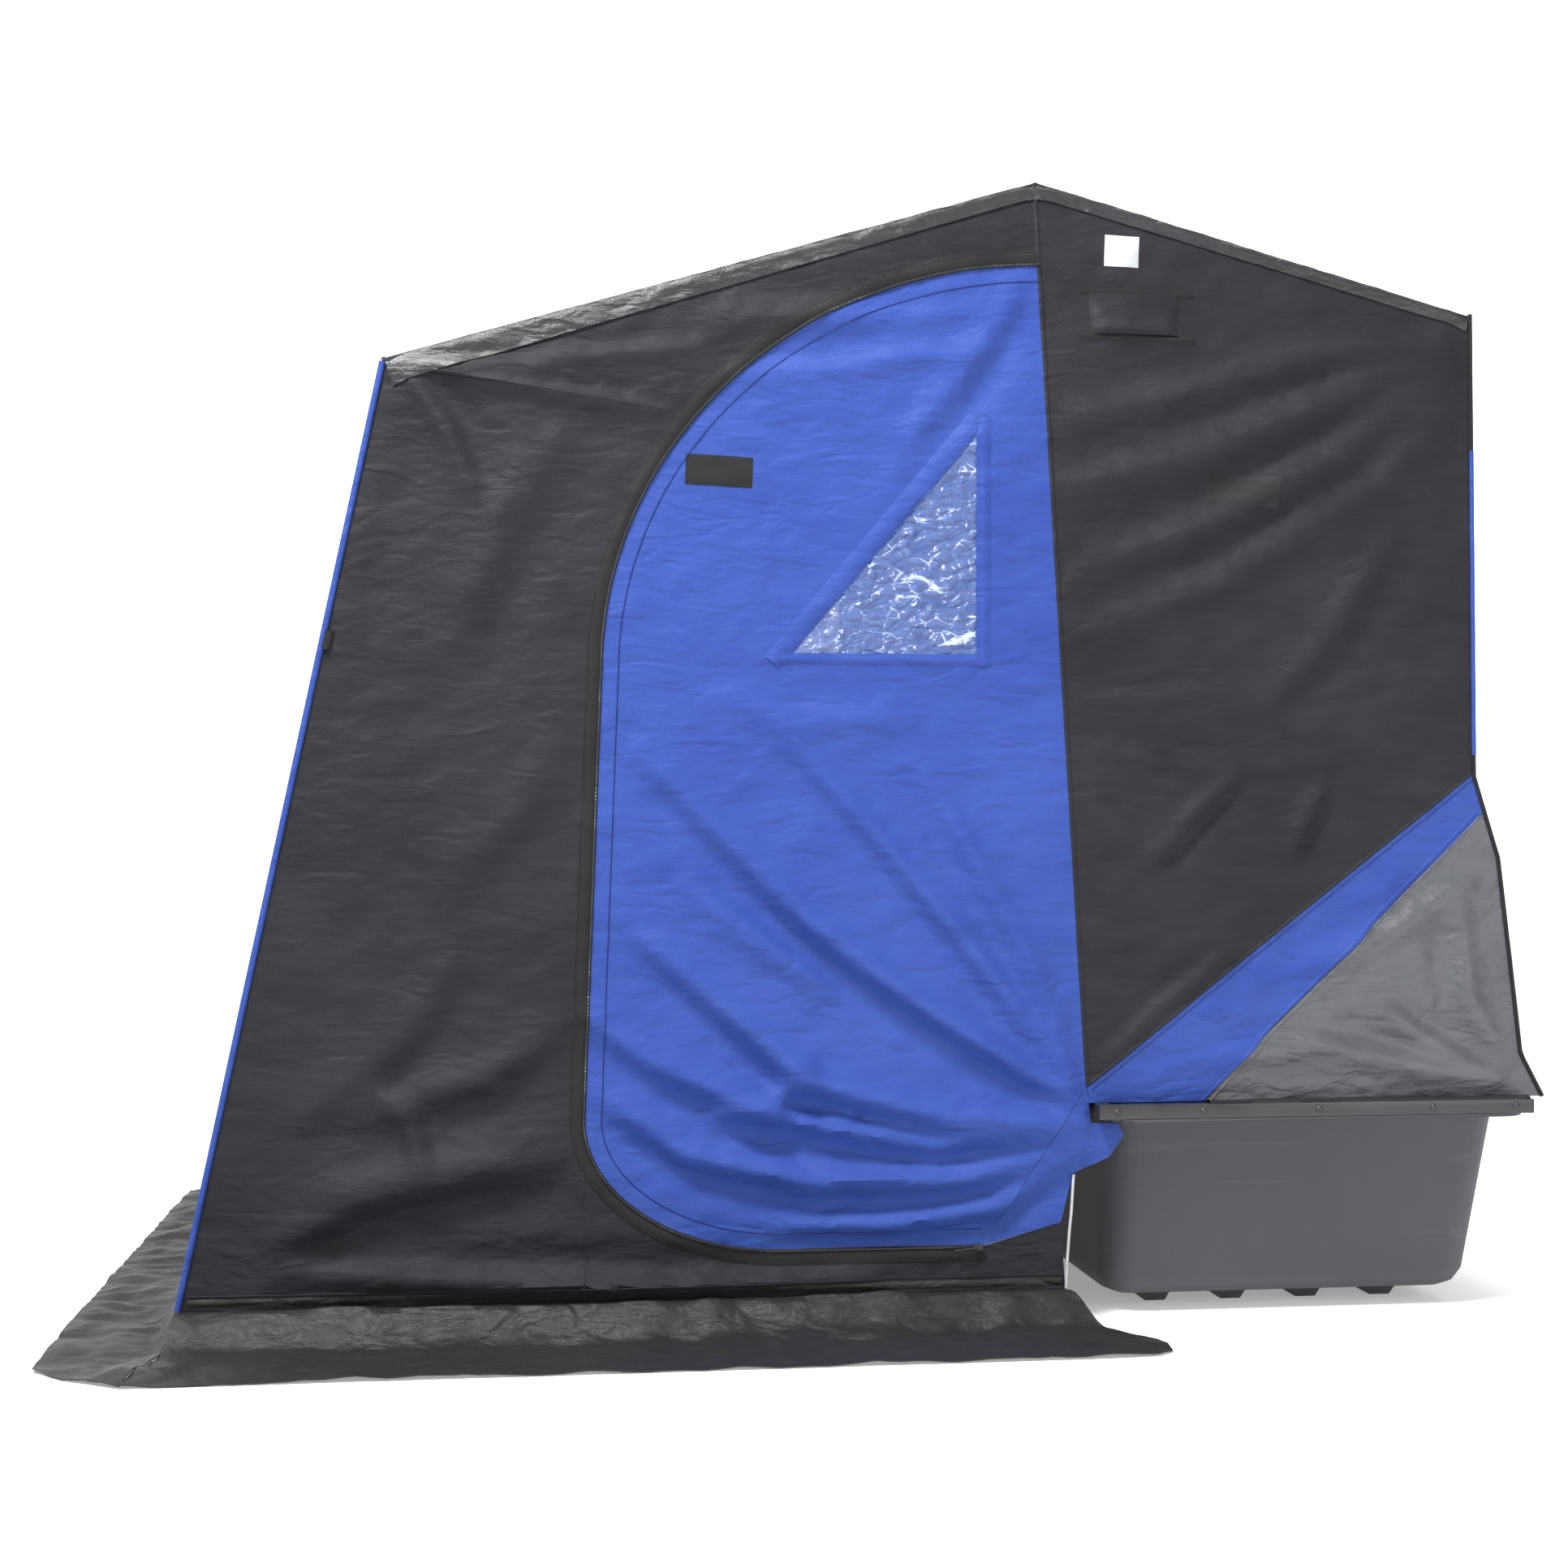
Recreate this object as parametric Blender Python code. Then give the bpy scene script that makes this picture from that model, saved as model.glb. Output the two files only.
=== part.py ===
"""Flip-over ice fishing shelter: a moulded sled across the rear, four telescoping square-tube bows that
pivot on brackets at the sled's front corners, and a canopy of sewn panels with a door on each side.

Metres, +Z up. -X is the front of the shelter, -Y its left side. The origin is on the ground under the
middle of the whole shelter.
"""

from dataclasses import dataclass
from math import cos, pi, radians, sin

import bmesh
import bpy
from mathutils import Matrix, Vector

# Overall sizes
WALL_TO_WALL = 1.56  # between the outer faces of the two side walls
PIVOT_HEIGHT = 0.42  # the pivot bolts' height over the ground
PANEL_THICK = 0.003  # every canopy panel, with its lining
GAP = 0.0006  # between pieces that touch
SEAM_GAP = 0.001  # between panels sewn edge to edge

# Poles
OUTER_TUBE = 0.028
OUTER_WALL = 0.0018
TUBE_CLEARANCE = 0.0004  # around an inner tube, each side
INNER_WALL = 0.0016
OUTER_TUBE_LENGTH = 0.86
OUTER_TUBE_TAIL = 0.018  # past the pivot bolt
INSERTION = 0.06  # how far an inner tube still reaches into its outer tube when drawn out
LAYER_GAP = 0.002  # between poles side by side on one bolt
BAR_TO_FABRIC = 0.008  # from a bow bar's outer face to the outer face of the fabric round it
POLE_TO_WALL = 0.017  # from the outermost pole to the side wall's outer face

# Sled
SLED_FRONT = 0.0  # the tub's front face at the rim, behind the pivot
SLED_WIDTH = 0.728  # along X, at the rim
SLED_PAST_WALL = 0.02  # the tub past each side wall, along Y at the rim
SLED_TAPER_FRONT = 0.024
SLED_TAPER_REAR = 0.02
SLED_TAPER_END = 0.1
SLED_WALL = 0.005
SLED_RIM_HEIGHT = 0.361
SLED_KEEL_HEIGHT = 0.03
SLED_CORNER = 0.06
FLANGE_FRONT = 0.015
FLANGE_REAR = 0.048
FLANGE_END = 0.02
RUNNER_COUNT = 4
RUNNER_WIDTH = 0.052
RUNNER_PITCH = 0.144
RAIL = 0.025  # the square tube clamped round the rim
RAIL_WALL = 0.002

# Pivot brackets
PLATE = 0.004
BRACKET_WIDTH = 0.06
BOLT_RADIUS = 0.005
BOLT_CLEARANCE = 0.0001
BOLT_HEAD = 0.005
BOLT_HEAD_RADIUS = 0.0095

# Canopy, in the plane of a side wall; distances along X are from the pivot, heights are over the ground
HEM_HEIGHT = 0.062
SEAM_FOOT_X = -0.028
SEAM_FOOT_Z = 0.418
SEAM_HEAD_X = -0.118
REAR_BREAK_Z = 0.96
REAR_BULGE = ((0.733, 0.814), (0.772, 0.464))
REAR_FOOT_X = 0.812
BAND_REAR_LOW_Z = 0.895
BAND_FRONT_LOW_X = 0.179
HEM_REAR_X = -0.068

# Side doors
DOOR_HEAD_DROP = 0.15  # from the peak down to the door's head
DOOR_WIDTH = 0.79
DOOR_SHOULDER_Z = 1.14
DOOR_FOOT_SPREAD = 0.027  # how much further forward the door's edge is at its foot than at its shoulder
DOOR_HEEL_Z = 0.37
DOOR_HEEL_WIDTH = 0.345
DOOR_SILL_Z = 0.141
SILL_END_X = -0.216  # where the zip stops, ahead of the pivot
ARC_STEPS = 12
GABLE_SPLIT = 0.42  # share of the head arc that borders the gable panel
GABLE_DROP = 0.016

# Window in a door, in the door's plane
WINDOW_REAR_X = -0.224
WINDOW_WIDTH = 0.325
WINDOW_TOP_Z = 1.558
WINDOW_SILL_Z = 1.170

# Vent hood
VENT_X = 0.062
VENT_Z = 1.778
VENT_WIDTH = 0.155
VENT_HEIGHT = 0.075
VENT_DEPTH = 0.012

# Skirt on the snow
SKIRT_SIDE = 0.25
SKIRT_FRONT = 0.215
SKIRT_SLOPE = 0.09  # the part that comes down to the ground
SKIRT_TAIL = 0.13  # how far the side skirt's outer corner reaches back past the hem

# Zip pull
PULL_LENGTH = 0.045
PULL_WIDTH = 0.012
PULL_THICK = 0.005

# Seats
SEAT_RAIL_SPREAD = 0.26
SEAT_PITCH = 0.60
CARRIAGE_LENGTH = 0.34
CARRIAGE_WIDTH = 0.20
CARRIAGE_THICK = 0.006
POST_RADIUS = 0.045
POST_HEIGHT = 0.012
PAN_THICK = 0.003
PAD_SIZE = 0.36
PAD_DEPTH = 0.36
PAD_THICK = 0.07
BACK_THICK = 0.05
BACK_HEIGHT = 0.30
BACK_PIN_RISE = 0.036  # from the pad's top up to the backrest's hinge


@dataclass(frozen=True)
class Pole:
    """One telescoping bow: its lean from +X towards +Z, the reach from its bolt to its bar's centre, and
    its place in the stack on the bolt, counted from the outside."""

    lean: float
    reach: float
    layer: int

    @property
    def offset(self):
        """The distance of its side tubes from the shelter's middle plane."""
        outermost = WALL_TO_WALL / 2 - POLE_TO_WALL - OUTER_TUBE / 2
        return outermost - self.layer * (OUTER_TUBE + LAYER_GAP)

    @property
    def bar(self):
        """Its bar's centre, as the distance along X from the pivot and the height over the ground."""
        return Vector((self.reach * cos(self.lean), PIVOT_HEIGHT + self.reach * sin(self.lean)))


POLES = {
    "rear": Pole(radians(63.9), 1.516, 3),
    "mid": Pole(radians(94.2), 1.573, 2),
    "front": Pole(radians(135.0), 1.740, 1),
    "ground": Pole(radians(193.1), 1.596, 0),
}
SIDES = {"left": -1, "right": 1}
INNER_TUBE = OUTER_TUBE - 2 * OUTER_WALL - 2 * TUBE_CLEARANCE
RIM_TOP = SLED_RIM_HEIGHT + GAP + RAIL
SLED_LENGTH = WALL_TO_WALL + 2 * SLED_PAST_WALL
WALL_Y = WALL_TO_WALL / 2
CANOPY_FOOT_Z = RIM_TOP + GAP


def offset_line(points, distance):
    """The points moved square to the line through them, to its left, with mitred bends."""
    moved = []
    for i, point in enumerate(points):
        before = (point - points[i - 1]).normalized() if i else None
        after = (points[i + 1] - point).normalized() if i + 1 < len(points) else None
        sides = [Vector((-d.y, d.x)) for d in (before, after) if d]
        middle = sum(sides, Vector((0, 0))).normalized()
        moved.append(point + middle * distance / middle.dot(sides[0]))
    return moved


def at_height(low, high, z):
    """The point at height z on the straight line through two points."""
    return low + (high - low) * ((z - low.y) / (high.y - low.y))


def shell_from_pivot():
    """The canopy's outer line from the front hem over the top to the rear foot, in (X from the pivot, Z)."""
    bars = [POLES[name].bar for name in ("ground", "front", "mid", "rear")]
    bars.append(Vector((bars[-1].x, REAR_BREAK_Z)))
    line = offset_line(bars, OUTER_TUBE / 2 + BAR_TO_FABRIC)
    line += [Vector(point) for point in REAR_BULGE]
    line.append(Vector((REAR_FOOT_X, CANOPY_FOOT_Z)))
    return line


HEM_FROM_PIVOT = at_height(*shell_from_pivot()[:2], HEM_HEIGHT).x
PIVOT_X = (SKIRT_FRONT - HEM_FROM_PIVOT - REAR_FOOT_X) / 2
SLED_MIDDLE_X = PIVOT_X + SLED_FRONT + SLED_WIDTH / 2
CARRIAGE_Z = RIM_TOP + GAP
PAN_Z = CARRIAGE_Z + CARRIAGE_THICK + POST_HEIGHT + GAP
PAD_Z = PAN_Z + PAN_THICK + GAP
BACK_PIN_X = SLED_MIDDLE_X + PAD_DEPTH / 2 + BACK_THICK / 2 + 0.006
BACK_PIN_Z = PAD_Z + PAD_THICK + BACK_PIN_RISE


# ---------------------------------------------------------------- materials and objects


def material(name, colour, roughness, metallic=0.0, alpha=1.0):
    made = bpy.data.materials.new(name)
    made.use_nodes = True
    shader = made.node_tree.nodes["Principled BSDF"]
    shader.inputs["Base Color"].default_value = (*colour, 1)
    shader.inputs["Roughness"].default_value = roughness
    shader.inputs["Metallic"].default_value = metallic
    shader.inputs["Alpha"].default_value = alpha
    return made


def finish_set():
    return {
        "black_fabric": material("black_fabric", (0.012, 0.012, 0.014), 0.8),
        "roof_fabric": material("roof_fabric", (0.03, 0.03, 0.033), 0.6),
        "blue_fabric": material("blue_fabric", (0.03, 0.08, 0.36), 0.75),
        "grey_fabric": material("grey_fabric", (0.11, 0.11, 0.115), 0.7),
        "clear_vinyl": material("clear_vinyl", (0.7, 0.78, 0.86), 0.12, alpha=0.4),
        "sled_plastic": material("sled_plastic", (0.05, 0.05, 0.055), 0.6),
        "aluminium": material("aluminium", (0.6, 0.6, 0.62), 0.35, 1.0),
        "steel": material("steel", (0.35, 0.35, 0.36), 0.4, 1.0),
        "black_plastic": material("black_plastic", (0.015, 0.015, 0.016), 0.5),
        "seat_fabric": material("seat_fabric", (0.02, 0.02, 0.022), 0.8),
    }


def add_object(name, mesh_data, finish, bevel=0.0):
    """One node from a finished bmesh, with an optional rounded edge."""
    bmesh.ops.recalc_face_normals(mesh_data, faces=mesh_data.faces)
    mesh = bpy.data.meshes.new(name)
    mesh_data.to_mesh(mesh)
    mesh_data.free()
    obj = bpy.data.objects.new(name, mesh)
    bpy.context.scene.collection.objects.link(obj)
    if finish:
        mesh.materials.append(finish)
    if bevel:
        rounding = obj.modifiers.new("rounding", "BEVEL")
        rounding.width = bevel
        rounding.segments = 2
        rounding.limit_method = "ANGLE"
    mesh.shade_smooth()
    mesh.set_sharp_from_angle(angle=radians(35))
    return obj


def cut(obj, mesh_data, operation="DIFFERENCE"):
    """A Boolean of the object with a hidden tool made from the bmesh."""
    tool = add_object(obj.name + "_tool", mesh_data, None)
    tool.hide_render = True
    tool.display_type = "WIRE"
    boolean = obj.modifiers.new(operation.lower(), "BOOLEAN")
    boolean.operation = operation
    boolean.solver = "EXACT"
    boolean.object = tool


def empty(name, place):
    holder = bpy.data.objects.new(name, None)
    holder.location = place
    bpy.context.scene.collection.objects.link(holder)
    return holder


def hang_on(children, parent):
    """Parents objects and leaves each where it is."""
    bpy.context.view_layer.update()
    for child in children:
        child.parent = parent
        child.matrix_parent_inverse = parent.matrix_world.inverted()


# ---------------------------------------------------------------- shapes


def box(low, high):
    """A bmesh box between two corners."""
    low, high = Vector(low), Vector(high)
    made = bmesh.new()
    bmesh.ops.create_cube(made, size=1)
    bmesh.ops.scale(made, verts=made.verts, vec=high - low)
    bmesh.ops.translate(made, verts=made.verts, vec=(low + high) / 2)
    return made


def prism(outline, start, end, place=lambda across, up, along: (across, along, up)):
    """An outline of (across, up) points, carried from start to end along the third direction."""
    made = bmesh.new()
    face = made.faces.new([made.verts.new(place(a, u, start)) for a, u in outline])
    grown = bmesh.ops.extrude_face_region(made, geom=[face])
    moved = [g for g in grown["geom"] if isinstance(g, bmesh.types.BMVert)]
    for vert, (a, u) in zip(moved_in_order(moved, outline, start, place), outline):
        vert.co = Vector(place(a, u, end))
    return made


def moved_in_order(verts, outline, start, place):
    """The extruded copies in the outline's own order."""
    left = list(verts)
    for a, u in outline:
        spot = Vector(place(a, u, start))
        nearest = min(left, key=lambda v: (v.co - spot).length_squared)
        left.remove(nearest)
        yield nearest


def tube_between(name, low, high, axis, finish):
    """A rail: a square tube between two corners, open at both ends of the given axis."""
    rail = add_object(name, box(low, high), finish)
    inner_low, inner_high = Vector(low), Vector(high)
    for i in range(3):
        inset = -RAIL if i == axis else RAIL_WALL
        inner_low[i] += inset
        inner_high[i] -= inset
    cut(rail, box(inner_low, inner_high))
    return rail


def cylinder(radius, start, end, segments=32):
    """A bmesh cylinder between two points."""
    start, end = Vector(start), Vector(end)
    along = end - start
    made = bmesh.new()
    turn = along.to_track_quat("Z", "Y").to_matrix().to_4x4()
    bmesh.ops.create_cone(
        made,
        cap_ends=True,
        segments=segments,
        radius1=radius,
        radius2=radius,
        depth=along.length,
        matrix=Matrix.Translation((start + end) / 2) @ turn,
    )
    return made


def loft(rings):
    """A closed skin through rings of equal count, with the first and last ring capped."""
    made = bmesh.new()
    loops = [[made.verts.new(p) for p in ring] for ring in rings]
    count = len(loops[0])
    for lower, upper in zip(loops, loops[1:]):
        for i in range(count):
            made.faces.new((lower[i], lower[(i + 1) % count], upper[(i + 1) % count], upper[i]))
    made.faces.new(loops[0])
    made.faces.new(loops[-1])
    return made


def rounded_rectangle(x_low, x_high, y_half, radius, height, steps=5):
    """A ring of points round a rectangle with round corners."""
    corners = (
        (x_high - radius, y_half - radius, 0),
        (x_low + radius, y_half - radius, 90),
        (x_low + radius, -y_half + radius, 180),
        (x_high - radius, -y_half + radius, 270),
    )
    ring = []
    for x, y, start in corners:
        for i in range(steps + 1):
            turn = radians(start + 90 * i / steps)
            ring.append((x + radius * cos(turn), y + radius * sin(turn), height))
    return ring


def along_pole(pole):
    """A placer that reads (along the pole, square to it, y) and gives a point in the shelter's frame."""
    out = Vector((cos(pole.lean), 0, sin(pole.lean)))
    up = Vector((-sin(pole.lean), 0, cos(pole.lean)))
    root = Vector((PIVOT_X, 0, PIVOT_HEIGHT))
    return lambda radius, rise, y: root + out * radius + up * rise + Vector((0, y, 0))


def pole_box(pole, radius_low, radius_high, half, y_low, y_high):
    """A box aligned with a pole."""
    outline = [(radius_low, -half), (radius_high, -half), (radius_high, half), (radius_low, half)]
    return prism(outline, y_low, y_high, along_pole(pole))


# ---------------------------------------------------------------- sled


def sled_tub(finishes):
    front, rear = PIVOT_X + SLED_FRONT, PIVOT_X + SLED_FRONT + SLED_WIDTH
    half = SLED_LENGTH / 2
    keel = (front + SLED_TAPER_FRONT, rear - SLED_TAPER_REAR, half - SLED_TAPER_END)
    lip = SLED_WALL
    round_keel = 0.035

    def ring(x_low, x_high, y_half, height, inset=0.0):
        corner = max(SLED_CORNER - inset, 0.02)
        return rounded_rectangle(x_low + inset, x_high - inset, y_half - inset, corner, height)

    def part_way(height, inset):
        """A ring of the sloping walls at a height over the keel."""
        share = (height - SLED_KEEL_HEIGHT) / (SLED_RIM_HEIGHT - SLED_KEEL_HEIGHT)
        low = (
            keel[0] + (front - keel[0]) * share,
            keel[1] + (rear - keel[1]) * share,
            keel[2] + (half - keel[2]) * share,
        )
        return ring(*low, height, inset)

    rings = [
        ring(*keel, SLED_KEEL_HEIGHT, round_keel),
        ring(*keel, SLED_KEEL_HEIGHT + 0.010, round_keel * 0.3),
        part_way(SLED_KEEL_HEIGHT + round_keel, 0),
        part_way(SLED_RIM_HEIGHT - lip, 0),
        rounded_rectangle(
            front - FLANGE_FRONT, rear + FLANGE_REAR, half + FLANGE_END, SLED_CORNER, SLED_RIM_HEIGHT - lip
        ),
        rounded_rectangle(
            front - FLANGE_FRONT, rear + FLANGE_REAR, half + FLANGE_END, SLED_CORNER, SLED_RIM_HEIGHT
        ),
        part_way(SLED_RIM_HEIGHT, SLED_WALL),
        part_way(SLED_KEEL_HEIGHT + round_keel + SLED_WALL, SLED_WALL),
        ring(*keel, SLED_KEEL_HEIGHT + SLED_WALL + 0.008, round_keel * 0.4 + SLED_WALL),
        ring(*keel, SLED_KEEL_HEIGHT + SLED_WALL, round_keel + SLED_WALL),
    ]
    tub = add_object("sled_tub", loft(rings), finishes["sled_plastic"])
    middle = (keel[0] + keel[1]) / 2
    for i in range(RUNNER_COUNT):
        x = middle + (i - (RUNNER_COUNT - 1) / 2) * RUNNER_PITCH
        bottom, top = RUNNER_WIDTH * 0.36, RUNNER_WIDTH / 2
        top_z = SLED_KEEL_HEIGHT + SLED_WALL * 0.5
        run = keel[2] - 0.08
        runner = loft(
            [
                [(x + i * bottom, j * (run - 0.03), 0) for i, j in ((-1, -1), (1, -1), (1, 1), (-1, 1))],
                [(x + i * top, j * run, top_z) for i, j in ((-1, -1), (1, -1), (1, 1), (-1, 1))],
            ]
        )
        cut(tub, runner, "UNION")
    return tub


def rim_rails(finishes):
    """The clamping bars that hold the canopy's foot to the sled's rim, butted at the corners."""
    x_low = PIVOT_X + SLED_FRONT - FLANGE_FRONT
    x_high = PIVOT_X + SLED_FRONT + SLED_WIDTH + FLANGE_REAR
    y_out = SLED_LENGTH / 2 + FLANGE_END
    z_low, z_high = SLED_RIM_HEIGHT + GAP, RIM_TOP
    y_in = y_out - RAIL
    finish = finishes["steel"]
    run = y_in - GAP
    tube_between("rim_rail_front", (x_low, -run, z_low), (x_low + RAIL, run, z_high), 1, finish)
    tube_between("rim_rail_rear", (x_high - RAIL, -run, z_low), (x_high, run, z_high), 1, finish)
    for side, sign in SIDES.items():
        y_low, y_high = sorted((sign * y_in, sign * y_out))
        tube_between("rim_rail_" + side, (x_low, y_low, z_low), (x_high, y_high, z_high), 0, finish)


def pivot_bracket(side, sign, finishes):
    """A channel that holds the four side tubes on one bolt."""
    inner = POLES["rear"].offset - OUTER_TUBE / 2 - LAYER_GAP
    outer = POLES["ground"].offset + OUTER_TUBE / 2 + LAYER_GAP / 2
    foot = RIM_TOP + GAP
    head = PIVOT_HEIGHT + 0.018
    profile = [
        (inner - PLATE, foot),
        (outer + PLATE, foot),
        (outer + PLATE, head),
        (outer, head),
        (outer, foot + PLATE),
        (inner, foot + PLATE),
        (inner, head),
        (inner - PLATE, head),
    ]
    channel = prism(
        profile,
        PIVOT_X - BRACKET_WIDTH / 2,
        PIVOT_X + BRACKET_WIDTH / 2,
        lambda y, z, x: (x, sign * y, z),
    )
    bracket = add_object("pivot_bracket_" + side, channel, finishes["steel"])
    hole = cylinder(
        BOLT_RADIUS + 3 * BOLT_CLEARANCE,
        (PIVOT_X, sign * (inner - 0.03), PIVOT_HEIGHT),
        (PIVOT_X, sign * (outer + 0.03), PIVOT_HEIGHT),
    )
    cut(bracket, hole)
    start, end = inner - PLATE - GAP, outer + PLATE + GAP
    spine = [(sign * (start - BOLT_HEAD), BOLT_HEAD_RADIUS), (sign * start, BOLT_HEAD_RADIUS)]
    spine += [(sign * start, BOLT_RADIUS), (sign * end, BOLT_RADIUS)]
    spine += [(sign * end, BOLT_HEAD_RADIUS), (sign * (end + BOLT_HEAD), BOLT_HEAD_RADIUS)]
    rings = [
        [(PIVOT_X + r * cos(2 * pi * i / 32), y, PIVOT_HEIGHT + r * sin(2 * pi * i / 32)) for i in range(32)]
        for y, r in spine
    ]
    return [bracket, add_object("pivot_bolt_" + side, loft(rings), finishes["steel"])]


# ---------------------------------------------------------------- poles


def outer_tube(name, pole, side, sign, finishes):
    y = sign * pole.offset
    half = OUTER_TUBE / 2
    tube = add_object(
        name + "_tube_" + side,
        pole_box(pole, -OUTER_TUBE_TAIL, OUTER_TUBE_LENGTH, half, y - half, y + half),
        finishes["aluminium"],
    )
    bore = half - OUTER_WALL
    past = 0.05
    cut(tube, pole_box(pole, -OUTER_TUBE_TAIL - past, OUTER_TUBE_LENGTH + past, bore, y - bore, y + bore))
    hole = cylinder(
        BOLT_RADIUS + BOLT_CLEARANCE, (PIVOT_X, y - OUTER_TUBE, PIVOT_HEIGHT), (PIVOT_X, y + OUTER_TUBE, PIVOT_HEIGHT)
    )
    cut(tube, hole)
    return tube


def bow(name, pole, finishes):
    """The inner tubes of one pole and the bar that joins them, as one bent hollow tube."""
    half = INNER_TUBE / 2
    foot = OUTER_TUBE_LENGTH - INSERTION
    bar_low, bar_high = pole.reach - half, pole.reach + half
    y_in, y_out = pole.offset - half, pole.offset + half

    def horseshoe(inset, past):
        """The bent tube's outline along the pole and across the shelter."""
        return [
            (foot - past, -y_out + inset),
            (bar_high - inset, -y_out + inset),
            (bar_high - inset, y_out - inset),
            (foot - past, y_out - inset),
            (foot - past, y_in + inset),
            (bar_low + inset, y_in + inset),
            (bar_low + inset, -y_in - inset),
            (foot - past, -y_in - inset),
        ]

    place = along_pole(pole)
    made = add_object(
        name + "_bow",
        prism(horseshoe(0, 0), -half, half, lambda r, y, rise: place(r, rise, y)),
        finishes["aluminium"],
    )
    hollow = half - INNER_WALL
    cut(made, prism(horseshoe(INNER_WALL, 0.05), -hollow, hollow, lambda r, y, rise: place(r, rise, y)))
    return made


# ---------------------------------------------------------------- canopy outlines, in the XZ plane


def shell_line():
    return [point + Vector((PIVOT_X, 0)) for point in shell_from_pivot()]


def inner_line(extra):
    """The shell line moved inwards by a panel and the extra, with both ends at their own heights."""
    outer = shell_line()
    return level_ends(offset_line(outer, -(PANEL_THICK + extra)), outer)


def level_ends(moved, line):
    """Slides the ends of a moved line along it, back to the heights they had."""
    first = at_height(moved[0], moved[1], line[0].y)
    last = at_height(moved[-1], moved[-2], line[-1].y)
    return [first] + moved[1:-1] + [last]


def seam(extra=0.0):
    """The foot and head of the seam at the mid pole; extra moves it towards the rear."""
    foot = Vector((PIVOT_X + SEAM_FOOT_X + extra, SEAM_FOOT_Z))
    inner = inner_line(SEAM_GAP)
    head = Vector((PIVOT_X + SEAM_HEAD_X + extra, 0))
    front, peak, rear = inner[1], inner[2], inner[3]
    low, high = (front, peak) if head.x <= peak.x else (rear, peak)
    head.y = low.y + (high.y - low.y) * (head.x - low.x) / (high.x - low.x)
    return foot, head


def on_seam(height):
    foot, head = seam()
    return at_height(foot, head, height)


def door_shape():
    """The head, shoulder and heel points of the zip's path."""
    head_z = shell_line()[2].y - DOOR_HEAD_DROP
    head = on_seam(head_z)
    shoulder = Vector((head.x - DOOR_WIDTH + 0.02, DOOR_SHOULDER_Z))
    heel = Vector((shoulder.x - DOOR_FOOT_SPREAD, DOOR_HEEL_Z))
    return head, shoulder, heel


def zip_path(grow=0.0):
    """Three stretches of the zip's path, moved outwards by grow: head arc, front edge and heel with sill."""
    head, shoulder, heel = door_shape()
    wide, tall = head.x + 0.02 - shoulder.x, head.y - shoulder.y
    arc = []
    for i in range(ARC_STEPS + 1):
        turn = radians(90 + 90 * i / ARC_STEPS)
        arc.append(
            Vector((head.x + 0.02 + (wide + grow) * cos(turn), shoulder.y + (tall + grow) * sin(turn)))
        )
    arc[0] = Vector((on_seam(head.y).x, arc[0].y))
    low_wide, low_tall = DOOR_HEEL_WIDTH, DOOR_HEEL_Z - DOOR_SILL_Z
    turn_x = heel.x + low_wide
    low = []
    for i in range(ARC_STEPS + 1):
        turn = radians(180 + 90 * i / ARC_STEPS)
        low.append(
            Vector((turn_x + (low_wide + grow) * cos(turn), DOOR_HEEL_Z + (low_tall + grow) * sin(turn)))
        )
    low.append(Vector((PIVOT_X + SILL_END_X, DOOR_SILL_Z - grow)))
    return arc, low


def side_outlines():
    """The outline of every flat side panel, by name."""
    inner = inner_line(SEAM_GAP)
    hem_front, front_top, peak, rear_top, rear_break, bulge_high, bulge_low, rear_foot = inner
    arc, low = zip_path(SEAM_GAP)
    split = round(ARC_STEPS * GABLE_SPLIT) + 3
    gable_start = Vector((front_top.x, front_top.y)) + (hem_front - front_top).normalized() * GABLE_DROP
    lift = Vector((0, SEAM_GAP))
    foot, head = seam()
    seam_front = [Vector((p.x - SEAM_GAP / 2, p.y)) for p in (foot, head)]
    seam_rear = seam(SEAM_GAP / 2)
    at_head = at_height(seam_front[0], seam_front[1], arc[0].y)
    hem_z = HEM_HEIGHT
    hem_low = at_height(hem_front, front_top, hem_z)
    heel_x = low[0].x
    gable = [gable_start + lift, front_top]
    if seam_front[1].x > peak.x:
        gable.append(peak)
    gable += [seam_front[1], at_head] + arc[1:split]
    front = [hem_low, Vector((heel_x, hem_z)), low[0]] + arc[: split - 2 : -1] + [gable_start]
    hem = [Vector((heel_x + SEAM_GAP, hem_z)), Vector((PIVOT_X + HEM_REAR_X, hem_z))]
    hem += [Vector((seam_front[0].x, RIM_TOP - RAIL)), seam_front[0]]
    hem += [low[-1]] + low[-2:0:-1] + [Vector((heel_x + SEAM_GAP, low[1].y + 0.01))]
    band_rear_high = at_height(rear_break, rear_top, REAR_BREAK_Z + 0.006)
    rear = [seam_rear[0] + lift, band_rear_high + lift, rear_top]
    if seam_rear[1].x < peak.x:
        rear.append(peak)
    rear.append(seam_rear[1])
    band_low_rear = at_height(bulge_high, rear_break, BAND_REAR_LOW_Z)
    band_low_front = Vector((PIVOT_X + BAND_FRONT_LOW_X, CANOPY_FOOT_Z))
    band_front = Vector((seam_rear[0].x, CANOPY_FOOT_Z))
    band = [band_front, band_low_front, band_low_rear + lift, rear_break, band_rear_high, seam_rear[0]]
    grey = [band_low_front + Vector((SEAM_GAP * 2, 0)), rear_foot, bulge_low, bulge_high, band_low_rear]
    return {
        "gable_panel": (gable, "black_fabric"),
        "front_panel": (front, "black_fabric"),
        "hem_panel": (hem, "black_fabric"),
        "rear_panel": (rear, "black_fabric"),
        "corner_band": (band, "blue_fabric"),
        "corner_panel": (grey, "grey_fabric"),
    }


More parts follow.
